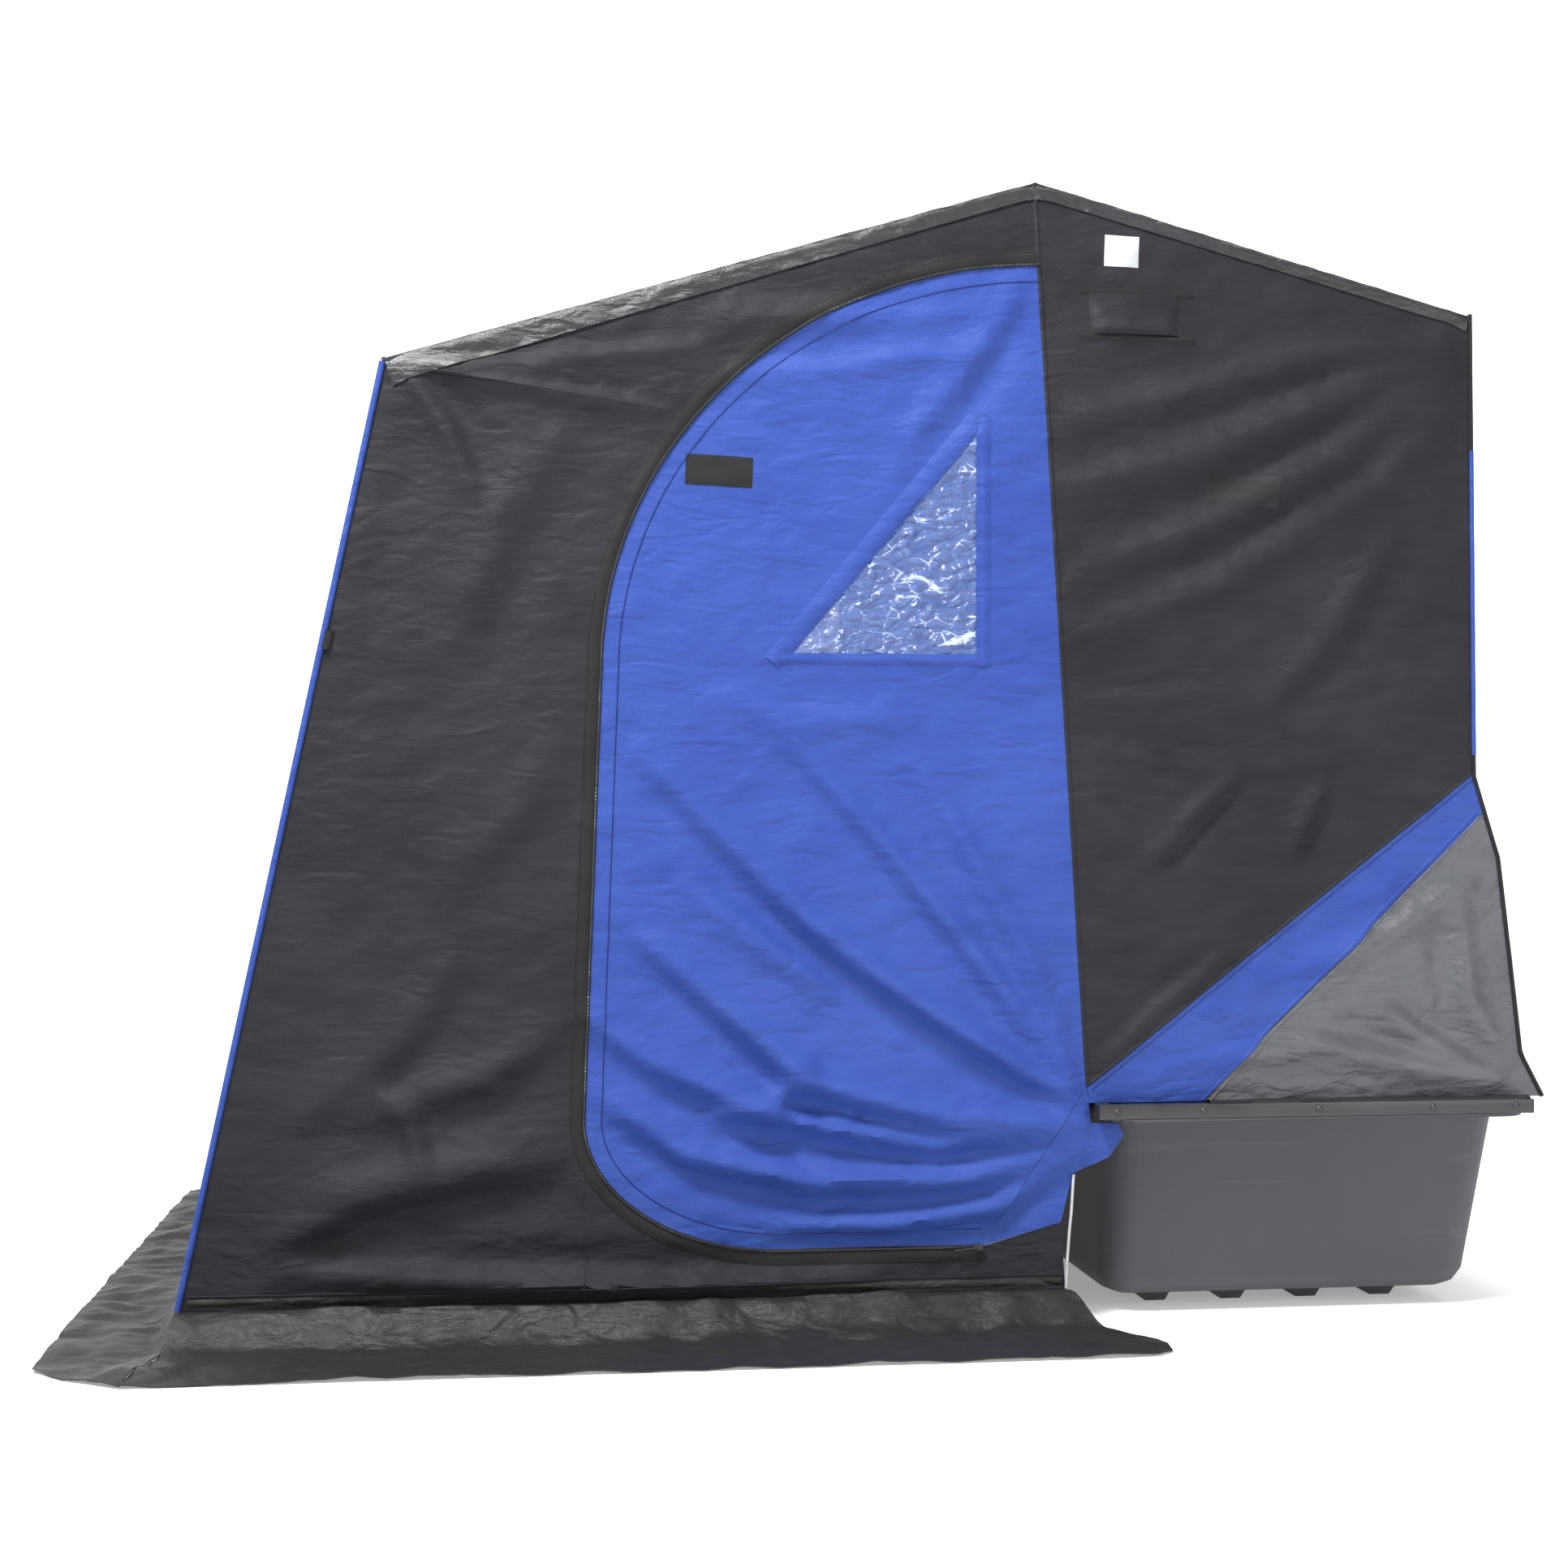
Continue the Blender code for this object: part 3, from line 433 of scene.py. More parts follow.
class Finishes:
    """Every finish of the shelter, made once."""

    def __init__(self) -> None:
        """Make the finishes."""
        self.black = WovenCloth(
            "black_cloth", "black_fabric", (0.0045, 0.0045, 0.0055), (0.020, 0.019, 0.025), 0.62
        ).look()
        self.roof = WovenCloth(
            "roof_cloth",
            "roof_fabric",
            (0.006, 0.006, 0.007),
            (0.026, 0.026, 0.030),
            0.40,
            coat=0.08,
            crumple=1.7,
            gloss=0.45,
        ).look()
        self.skirt = WovenCloth(
            "skirt_cloth",
            "roof_fabric",
            (0.005, 0.005, 0.0055),
            (0.020, 0.0192, 0.0205),
            0.5,
            crumple=1.8,
            gloss=0.3,
        ).look()
        self.blue = WovenCloth(
            "blue_cloth", "blue_fabric", (0.011, 0.032, 0.19), (0.034, 0.073, 0.29), 0.6
        ).look()
        self.stitch = WovenCloth(
            "blue_thread", "blue_fabric", (0.006, 0.018, 0.10), (0.014, 0.034, 0.16), 0.6, 0.03, 0.0016, 0.2
        ).look()
        self.grey = WovenCloth(
            "grey_cloth",
            "grey_fabric",
            (0.034, 0.036, 0.040),
            (0.10, 0.104, 0.114),
            0.42,
            crumple=1.8,
            coat=0.1,
            gloss=0.4,
        ).look()
        self.tape = WovenCloth(
            "zip_tape", "black_fabric", (0.004, 0.004, 0.005), (0.013, 0.013, 0.015), 0.6, 0.1, 0.0016, 0.3
        ).look()
        self.hooks = WovenCloth(
            "hook_patch",
            "black_fabric",
            (0.003, 0.003, 0.004),
            (0.014, 0.014, 0.017),
            0.9,
            0.5,
            0.0013,
            0.4,
        ).look()
        self.white = WovenCloth(
            "white_patch", "grey_fabric", (0.34, 0.35, 0.36), (0.46, 0.47, 0.48), 0.5, 0.05, 0.0016, 0.4
        ).look()
        self.seat = WovenCloth(
            "seat_cloth", "seat_fabric", (0.012, 0.012, 0.013), (0.04, 0.04, 0.044), 0.78, 0.3, 0.003, 0.7
        ).look()
        # the film's blue is painted light from the lit cloth beyond the window, and its pale end is the
        # colour of the painted glints
        self.film = ClearFilm("window_film", "clear_vinyl", (0.030, 0.075, 0.30), (0.55, 0.66, 0.88)).look()
        self.sled = MouldedPlastic(
            "sled_moulding", "sled_plastic", (0.022, 0.021, 0.025), (0.060, 0.057, 0.066), 0.55, 420.0
        ).look()
        self.plastic = MouldedPlastic(
            "small_mouldings",
            "black_plastic",
            (0.008, 0.008, 0.009),
            (0.02, 0.02, 0.021),
            0.42,
            900.0,
            0.0002,
        ).look()
        self.rim = DrawnMetal(
            "rim_bar_paint", "steel", (0.014, 0.014, 0.015), (0.055, 0.055, 0.057), 0.34, 0.35
        ).look()
        self.tube = DrawnMetal(
            "bare_tube", "aluminium", (0.36, 0.36, 0.37), (0.62, 0.62, 0.63), 0.34, 1.0
        ).look()
        self.steel = DrawnMetal(
            "bracket_paint", "steel", (0.02, 0.02, 0.022), (0.06, 0.06, 0.062), 0.4, 0.5
        ).look()


# ---------------------------------------------------------------- carrying and placing


@dataclass(frozen=True)
class Carry:
    """How a piece moves: the body it rides on and, for cloth, a packing axis, anchor and keep, of which
    only the axis is read, to give the piece its own mesh.
    """

    body: str
    axis: Colour | None = None
    anchor: Colour = (0.0, 0.0, 0.0)
    keep: float = 0.08

    def hold(self, piece: bpy.types.Object) -> None:
        """Let a piece move this way.

        Args:
            piece: the piece.
        """
        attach(piece, self.body)
        if self.axis:
            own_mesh(piece)


def on_arm(body: str, keep: float = 0.06) -> Carry:
    """A carry for cloth on a body, with the middle bow's arm as its packing axis."""
    return Carry(body, ARM_SQUARE, PIVOT, keep)


ON_SLED = Carry("sled", (0.0, 0.0, 1.0), (0.0, 0.0, RIM_TOP), 0.09)


def placed(
    name: str,
    mesh: bmesh.types.BMesh,
    look: Look,
    carry: Carry,
    stands_for: Sequence[str] = (),
    thick: float = 0.0,
    sharp: float = 40.0,
) -> bpy.types.Object:
    """Make an object of a mesh in its place, dress it and let it ride.

    Args:
        name: the piece's name.
        mesh: its mesh, which is freed.
        look: its finish.
        carry: how it moves.
        stands_for: the frame's nodes that it replaces.
        thick: the wall given to an open sheet, inwards.
        sharp: the angle from which an edge stays sharp, in degrees.

    Returns:
        The piece.
    """
    data = bpy.data.meshes.new(name)
    rims = [index for index, edge in enumerate(mesh.edges) if edge.is_boundary]
    mesh.to_mesh(data)
    mesh.free()
    data.materials.append(look.material)
    data.shade_smooth()
    data.set_sharp_from_angle(angle=radians(sharp))
    for index in rims:
        data.edges[index].use_edge_sharp = True
    piece = bpy.data.objects.new(name, data)
    bpy.context.scene.collection.objects.link(piece)
    if thick:
        wall = piece.modifiers.new("wall", "SOLIDIFY")
        wall.thickness = thick
        wall.offset = -1
    carry.hold(piece)
    if stands_for:
        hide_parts(*stands_for)
    LOG.info("%s rides on %s", name, carry.body)
    return piece


def remap(mesh: bmesh.types.BMesh, move: Callable[[np.ndarray], np.ndarray]) -> bmesh.types.BMesh:
    """Move every vertex through a function of an array of points.

    Args:
        mesh: the mesh to change.
        move: gives the new points from the old ones.

    Returns:
        The same mesh.
    """
    points = np.array([vert.co for vert in mesh.verts], float).reshape(-1, 3)
    for vert, point in zip(mesh.verts, move(points)):
        vert.co = point
    return mesh


def swirl(points: np.ndarray, scale: Colour, seed: float) -> np.ndarray:
    """Smooth noise from -1 to 1 at an array of points."""
    scaled = points * np.array(scale) + seed
    return np.array([noise.noise(Vector(point)) for point in scaled])


def grid(along: int, across: int) -> bmesh.types.BMesh:
    """A net of squares from 0 to 1 along X and Y.

    Args:
        along: the squares along X.
        across: the squares along Y.

    Returns:
        The net.
    """
    mesh = bmesh.new()
    bmesh.ops.create_grid(mesh, x_segments=along, y_segments=across, size=0.5)
    bmesh.ops.translate(mesh, verts=mesh.verts, vec=(0.5, 0.5, 0))
    return mesh


def netted(mesh: bmesh.types.BMesh, step: float, axes: Sequence[int]) -> bmesh.types.BMesh:
    """Cut a flat mesh into a net.

    Args:
        mesh: the mesh to cut.
        step: the distance between cuts.
        axes: the axes that the cuts are square to.

    Returns:
        The same mesh.
    """
    for axis in axes:
        places = [vert.co[axis] for vert in mesh.verts]
        normal = Vector([float(i == axis) for i in range(3)])
        for i in range(int(min(places) / step) - 1, int(max(places) / step) + 2):
            everything = [*mesh.verts, *mesh.edges, *mesh.faces]
            bmesh.ops.bisect_plane(
                mesh, geom=everything, dist=1e-5, plane_co=normal * i * step, plane_no=normal
            )
    return mesh


def tube(
    path: Sequence[Sequence[float]], radius: float, closed: bool = False, sides: int = 2
) -> bmesh.types.BMesh:
    """A round tube along a line of points.

    Args:
        path: the points.
        radius: the tube's radius.
        closed: whether the line returns to its start.
        sides: how fine the round is.

    Returns:
        The tube, with its ends filled unless it is closed.
    """
    curve = bpy.data.curves.new("route", "CURVE")
    curve.dimensions = "3D"
    curve.bevel_depth = radius
    curve.bevel_resolution = sides
    curve.use_fill_caps = not closed
    spline = curve.splines.new("POLY")
    spline.points.add(len(path) - 1)
    spline.use_cyclic_u = closed
    for target, point in zip(spline.points, path):
        target.co = (*point, 1)
    holder = bpy.data.objects.new("route", curve)
    mesh = bmesh.new()
    mesh.from_mesh(holder.to_mesh())
    bpy.data.objects.remove(holder)
    bmesh.ops.remove_doubles(mesh, verts=mesh.verts, dist=1e-6)
    bmesh.ops.recalc_face_normals(mesh, faces=mesh.faces)
    return mesh


def merged(node: str) -> bmesh.types.BMesh:
    """A merged copy of a frame node's mesh.

    Args:
        node: the frame's node.

    Returns:
        The copy.
    """
    mesh = bmesh.new()
    mesh.from_mesh(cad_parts[node].data)
    bmesh.ops.remove_doubles(mesh, verts=mesh.verts, dist=2e-5)
    return mesh


def eased(node: str, look: Look, body: str, width: float, segments: int = 2) -> bpy.types.Object:
    """A frame node with its edges eased.

    Args:
        node: the frame's node.
        look: its finish.
        body: the body it rides on.
        width: the width of the rounding.
        segments: the steps of the rounding.

    Returns:
        The piece that stands for the node.
    """
    mesh = merged(node)
    bmesh.ops.dissolve_limit(mesh, angle_limit=radians(1), verts=mesh.verts, edges=mesh.edges)
    edges = [
        edge
        for edge in mesh.edges
        if len(edge.link_faces) == 2 and edge.calc_face_angle(0) > radians(40)
    ]
    bmesh.ops.bevel(
        mesh,
        geom=edges,
        offset=width,
        affect="EDGES",
        segments=segments,
        profile=0.5,
        material=-1,
        clamp_overlap=True,
    )
    return placed(node + "_eased", mesh, look, Carry(body), [node], sharp=50)


# ---------------------------------------------------------------- draped walls


@dataclass(frozen=True)
class Crease:
    """A fold in a side wall: the line it runs along, how far it stands out and how wide it is."""

    line: tuple[Point, ...]
    height: float
    width: float

    def lift(self, x: np.ndarray, z: np.ndarray) -> np.ndarray:
        """How far the fold moves the wall at each place, outwards.

        Args:
            x: the places along the wall.
            z: their heights.

        Returns:
            The distances.
        """
        best, across, along = np.full(x.shape, FAR), np.zeros(x.shape), np.zeros(x.shape)
        done = 0.0
        for (ax, az), (bx, bz) in zip(self.line, self.line[1:]):
            dx, dz = bx - ax, bz - az
            long = np.hypot(dx, dz)
            share = np.clip(((x - ax) * dx + (z - az) * dz) / long**2, 0, 1)
            away = np.hypot(x - ax - share * dx, z - az - share * dz)
            nearer = away < best
            side = np.sign(dx * (z - az) - dz * (x - ax))
            best = np.where(nearer, away, best)
            across = np.where(nearer, away * side, across)
            along = np.where(nearer, done + share * long, along)
            done += long
        fade = np.sin(pi * np.clip(along / done, 0.0, 1.0)) ** 0.55
        away = np.abs(across) / self.width
        ridge = 1 / (1 + away**2) ** 1.5
        trough = 0.5 * np.exp(-(((across - 1.5 * self.width) / self.width) ** 2))
        return FOLDING * self.height * fade * (ridge - trough)


CREASES = (
    Crease(((0.47, 0.36), (0.23, 0.36), (-0.03, 0.43), (-0.17, 0.55), (-0.34, 0.70)), 0.020, 0.026),
    Crease(((0.47, 0.37), (0.17, 0.56), (-0.03, 0.71), (-0.21, 0.88), (-0.34, 1.02)), 0.013, 0.026),
    Crease(((0.46, 0.39), (0.29, 0.61), (0.10, 0.84), (-0.10, 1.06)), 0.011, 0.024),
    Crease(((0.45, 0.39), (0.25, 0.50), (0.05, 0.63), (-0.14, 0.78)), 0.010, 0.020),
    Crease(((0.44, 0.41), (0.37, 0.61), (0.26, 0.81), (0.14, 1.02)), 0.008, 0.024),
    Crease(((0.47, 0.34), (0.19, 0.32), (-0.08, 0.37), (-0.31, 0.47), (-0.43, 0.56)), 0.018, 0.024),
    Crease(((0.47, 0.32), (0.23, 0.26), (-0.03, 0.26), (-0.24, 0.31), (-0.40, 0.42)), 0.018, 0.026),
    Crease(((0.46, 0.31), (0.30, 0.21), (0.10, 0.185), (-0.10, 0.19)), 0.013, 0.022),
    Crease(((-0.26, 0.78), (-0.10, 0.66), (0.02, 0.58)), 0.010, 0.030),
    Crease(((-0.02, 0.47), (-0.10, 0.39), (-0.22, 0.37)), 0.016, 0.028),
    Crease(((-0.24, 1.74), (-0.03, 1.76), (0.23, 1.75)), 0.005, 0.030),
    Crease(((-0.17, 1.64), (0.03, 1.67), (0.31, 1.71)), 0.006, 0.026),
    Crease(((0.36, 1.84), (0.23, 1.65), (0.10, 1.49)), 0.006, 0.028),
    Crease(((-0.22, 1.10), (-0.05, 1.05), (0.16, 1.06)), 0.006, 0.030),
    Crease(((-0.76, 1.66), (-0.53, 1.62), (-0.27, 1.58)), 0.009, 0.017),
    Crease(((-0.75, 1.67), (-0.58, 1.655), (-0.40, 1.64)), 0.007, 0.014),
    Crease(((-0.75, 1.67), (-0.66, 1.56), (-0.60, 1.42)), 0.008, 0.024),
    Crease(((-0.75, 1.66), (-0.55, 1.66), (-0.20, 1.70)), 0.006, 0.018),
    Crease(((-0.76, 1.62), (-0.83, 1.30), (-0.91, 1.00)), 0.007, 0.040),
    Crease(((-0.45, 1.56), (-0.56, 1.39), (-0.66, 1.12)), 0.007, 0.045),
    Crease(((-0.45, 1.03), (-0.53, 0.90), (-0.68, 0.74)), 0.007, 0.045),
    Crease(((-0.62, 0.66), (-0.74, 0.50), (-0.92, 0.36)), 0.010, 0.040),
    Crease(((-0.44, 0.54), (-0.58, 0.45), (-0.84, 0.37)), 0.012, 0.036),
    Crease(((-0.44, 0.32), (-0.62, 0.29), (-0.80, 0.25), (-0.95, 0.16)), 0.018, 0.042),
    Crease(((-0.95, 0.13), (-0.63, 0.105), (-0.30, 0.085), (0.1, 0.09)), 0.014, 0.026),
    Crease(((-0.78, 0.44), (-0.71, 0.38), (-0.68, 0.27)), 0.009, 0.022),
    Crease(((0.40, 1.77), (0.70, 1.72), (1.16, 1.73)), 0.006, 0.028),
    Crease(((0.39, 1.58), (0.58, 1.62), (0.85, 1.70), (1.17, 1.77)), 0.009, 0.032),
    Crease(((0.40, 1.46), (0.63, 1.52), (0.92, 1.63), (1.17, 1.75)), 0.013, 0.036),
    Crease(((0.41, 1.30), (0.67, 1.40), (0.94, 1.54), (1.17, 1.72)), 0.013, 0.034),
    Crease(((0.42, 1.20), (0.70, 1.30), (1.00, 1.48), (1.17, 1.67)), 0.010, 0.034),
    Crease(((1.04, 1.42), (0.91, 1.22), (0.77, 1.06)), 0.009, 0.034),
    Crease(((0.42, 1.10), (0.58, 1.095), (0.74, 1.12)), 0.006, 0.014),
    Crease(((0.43, 1.02), (0.62, 0.98), (0.80, 0.98), (1.02, 1.00)), 0.008, 0.016),
    Crease(((0.74, 0.97), (0.66, 0.90), (0.57, 0.80)), 0.009, 0.018),
    Crease(((0.90, 0.96), (0.86, 0.88), (0.82, 0.80)), 0.008, 0.018),
    Crease(((0.47, 0.44), (0.60, 0.56), (0.74, 0.66)), 0.006, 0.016),
    Crease(((0.70, 0.46), (0.88, 0.485), (1.22, 0.41)), 0.012, 0.022),
    Crease(((0.84, 0.62), (1.00, 0.67), (1.18, 0.78)), 0.009, 0.026),
    Crease(((1.24, 0.44), (1.16, 0.56), (1.14, 0.74)), 0.010, 0.026),
    Crease(((0.98, 0.56), (1.08, 0.49), (1.27, 0.40)), 0.010, 0.020),
)


def apart(x: np.ndarray, z: np.ndarray, line: Sequence[Point]) -> np.ndarray:
    """The distance of each place from a line of points.

    Args:
        x: the places along the wall.
        z: their heights.
        line: the line's points.

    Returns:
        The distances.
    """
    best = np.full(x.shape, FAR)
    for (ax, az), (bx, bz) in zip(line, line[1:]):
        dx, dz = bx - ax, bz - az
        share = np.clip(((x - ax) * dx + (z - az) * dz) / (dx * dx + dz * dz), 0, 1)
        best = np.minimum(best, np.hypot(x - ax - share * dx, z - az - share * dz))
    return best


@dataclass(frozen=True)
class SideWall:
    """One draped side wall, which every panel and tape on it follows."""

    side: Side
    inward: float = 0.0075
    outward: float = 0.045
    hold: float = 0.045

    def stand_off(self, x: np.ndarray, z: np.ndarray) -> np.ndarray:
        """How far the cloth stands out from the wall's plane at each place.

        Args:
            x: the places along the wall.
            z: their heights.

        Returns:
            The distances, outwards.
        """
        seed = 3.7 if self.side is Side.LEFT else 11.3
        flat = np.stack([x, z, np.zeros_like(x)], axis=1)
        leaning = np.stack([x * 0.8 + z * 0.6, z * 0.8 - x * 0.6, np.zeros_like(x)], axis=1)
        lift = sum(crease.lift(x, z) for crease in CREASES)
        lift = lift + 0.006 * swirl(flat, (2.3, 2.3, 1.0), seed)
        lift = lift + 0.0038 * swirl(leaning, (3.0, 8.0, 1.0), seed)
        lift = lift + 0.0022 * (1 - 2.2 * np.abs(swirl(leaning, (9.0, 17.0, 1.0), seed + 5)))
        lift = lift + 0.0011 * (1 - 2.2 * np.abs(swirl(flat, (31.0, 24.0, 1.0), seed + 9)))
        shell = apart(x, z, (HEM, EAVE, PEAK, REAR_TOP, *REAR_LINE))
        seam = apart(x, z, SEAM)
        pucker = 0.0016 * swirl(flat, (34.0, 34.0, 1.0), seed + 2)
        lift = lift + pucker * (np.exp(-seam / 0.03) + np.exp(-shell / 0.04))
        free = 1 - np.exp(-((shell / self.hold) ** 2))
        free = free * (1 - 0.7 * np.exp(-((seam / 0.03) ** 2)))
        lift = lift * free + 0.0006 * swirl(flat, (40.0, 40.0, 1.0), seed)
        lift = np.where(z < HEM[1] + 0.03, lift * np.clip((z - HEM[1]) / 0.03, 0, 1), lift)
        low = self.inward * np.tanh(lift / self.inward)
        return np.where(lift < 0, low, self.outward * np.tanh(lift / self.outward))

    def drape(self, mesh: bmesh.types.BMesh, rise: float = 0.0) -> bmesh.types.BMesh:
        """Lay a flat mesh on the wall.

        Args:
            mesh: a mesh in the XZ plane, whose Y is a height over the cloth.
            rise: the height added everywhere.

        Returns:
            The same mesh.
        """
        sign = self.side.value

        def move(points: np.ndarray) -> np.ndarray:
            """Put each point of the flat net in its place.

            Args:
                points: the flat net's points.

            Returns:
                The points in their new places.
            """
            lift = self.stand_off(points[:, 0], points[:, 2])
            y = sign * (WALL + lift + rise + points[:, 1])
            return np.stack([points[:, 0], y, points[:, 2]], axis=1)

        remap(mesh, move)
        middle = Vector((0, sign, 0))
        mesh.normal_update()
        turned = [face for face in mesh.faces if face.normal.dot(middle) < 0]
        bmesh.ops.reverse_faces(mesh, faces=turned)
        return mesh

    def face_of(self, node: str) -> bmesh.types.BMesh:
        """The outer face of one of the frame's side panels, flat in the XZ plane and cut into a net.

        Args:
            node: the frame's node, without its side.

        Returns:
            The flat net.
        """
        mesh = merged(f"{node}_{self.side.label}")
        mesh.normal_update()
        other = [face for face in mesh.faces if face.normal.y * self.side.value < 0.9]
        bmesh.ops.delete(mesh, geom=other, context="FACES")
        bmesh.ops.dissolve_limit(mesh, angle_limit=radians(0.2), verts=mesh.verts, edges=mesh.edges)
        bmesh.ops.triangulate(mesh, faces=mesh.faces, ngon_method="BEAUTY")
        netted(mesh, NET, (0, 2))
        return remap(mesh, lambda points: points * (1, 0, 1))

    def below(self, line: Sequence[Point], level: float) -> bmesh.types.BMesh:
        """A flat net from a line down to a level.

        Args:
            line: the line's points.
            level: the height of the lower edge.

        Returns:
            The flat net.
        """
        top = spaced(line, NET)
        count = len(top) - 1
        made = grid(count, 16)

        def move(points: np.ndarray) -> np.ndarray:
            """Put each point of the flat net in its place.

            Args:
                points: the flat net's points.

            Returns:
                The points in their new places.
            """
            index = np.clip(np.rint(points[:, 0] * count).astype(int), 0, count)
            z = level + (top[index, 1] - level) * points[:, 1]
            return np.stack([top[index, 0], np.zeros_like(z), z], axis=1)

        return remap(made, move)

    def outline(self, corners: Sequence[Point], step: float = NET) -> bmesh.types.BMesh:
        """A flat net inside a line of corners.

        Args:
            corners: the corners in turn.
            step: the distance between cuts.

        Returns:
            The flat net.
        """
        mesh = bmesh.new()
        face = mesh.faces.new([mesh.verts.new((x, 0, z)) for x, z in corners])
        bmesh.ops.triangulate(mesh, faces=[face], ngon_method="BEAUTY")
        return netted(mesh, step, (0, 2))


def spaced(line: Sequence[Point], step: float) -> np.ndarray:
    """Points at even steps along a line.

    Args:
        line: the line's points.
        step: the distance between points, about.

    Returns:
        The points.
    """
    corners = np.array(line, float)
    done = np.concatenate([[0], np.cumsum(np.hypot(*np.diff(corners, axis=0).T))])
    places = np.linspace(0, done[-1], max(2, int(done[-1] / step) + 1))
    return np.stack([np.interp(places, done, corners[:, k]) for k in (0, 1)], axis=1)


def cut_size(points: np.ndarray) -> tuple[float, float]:
    """Width and length of the smallest rectangle round flat points, turned as it fits best.

    Args:
        points: flat points.

    Returns:
        The width and the length.
    """
    sizes = []
    for degree in range(0, 90, 2):
        turn = radians(degree)
        spun = points @ np.array([[cos(turn), -sin(turn)], [sin(turn), cos(turn)]])
        sizes.append(np.sort(np.ptp(spun, axis=0)))
    width, length = min(sizes, key=np.prod)
    return float(width), float(length)


@dataclass(frozen=True)
class Tape:
    """A tape sewn along a line on a wall, from one offset to the other, measured to the line's right."""

    line: Sequence[Point]
    inner: float
    outer: float
    rise: float
    step: float = NET
    rows: int = 3
    teeth: float = 0.0

    def mesh(self) -> bmesh.types.BMesh:
        """The tape, flat in the XZ plane, with its middle raised.

        Returns:
            The tape.
        """
        centres = spaced(self.line, self.step)
        heading = np.gradient(centres, axis=0)
        heading /= np.linalg.norm(heading, axis=1)[:, None]
        count = len(centres) - 1
        made = grid(count, self.rows)

        def move(points: np.ndarray) -> np.ndarray:
            """Put each point of the flat net in its place.

            Args:
                points: the flat net's points.

            Returns:
                The points in their new places.
            """
            index = np.clip(np.rint(points[:, 0] * count).astype(int), 0, count)
            offset = self.inner + (self.outer - self.inner) * points[:, 1]
            crown = 1 - (2 * points[:, 1] - 1) ** 4
            height = self.rise * crown + self.teeth * crown * (index % 2)
            x = centres[index, 0] + heading[index, 1] * offset
            z = centres[index, 1] - heading[index, 0] * offset
            return np.stack([x, height, z], axis=1)

        return remap(made, move)


def arc(centre: Point, wide: float, tall: float, start: float, count: int = 24) -> list[Point]:
    """A quarter of an ellipse, anticlockwise from the starting angle in degrees."""
    turns = [radians(start + 90 * i / count) for i in range(count + 1)]
    return [(centre[0] + wide * cos(turn), centre[1] + tall * sin(turn)) for turn in turns]


HEAD_ARC = [(0.3800, 1.8616), *arc((0.40, 1.14), 0.79, 0.7216, 90)[1:]]
HEEL_ARC = arc((-0.072, 0.37), 0.345, 0.229, 180)
ZIP_LINE = [*HEAD_ARC, *HEEL_ARC, (0.2736, 0.141)]
WINDOW = ((-0.0594, 1.17), (0.2656, 1.17), (0.2656, 1.558))


@dataclass(frozen=True)
class Patch:
    """A small cloth rectangle sewn on a wall."""

    name: str
    centre: Point
    size: Point
    turn: float
    rise: float = 0.0009

    def mesh(self) -> bmesh.types.BMesh:
        """The patch, flat in the XZ plane, with its rim turned down.

        Returns:
            The patch.
        """
        made = grid(14, 8)
        spin = Matrix.Rotation(radians(self.turn), 3, "Y")

        def move(points: np.ndarray) -> np.ndarray:
            """Put each point of the flat net in its place.

            Args:
                points: the flat net's points.

            Returns:
                The points in their new places.
            """
            from_ends = np.minimum(points[:, 0], 1 - points[:, 0])
            from_sides = np.minimum(points[:, 1], 1 - points[:, 1])
            height = self.rise * np.clip(np.minimum(from_ends, from_sides) * 12, 0, 1)
            local = np.stack(
                [(points[:, 0] - 0.5) * self.size[0], height, (points[:, 1] - 0.5) * self.size[1]], axis=1
            )
            return local @ np.array(spin).T + np.array([self.centre[0], 0, self.centre[1]])

        return remap(made, move)


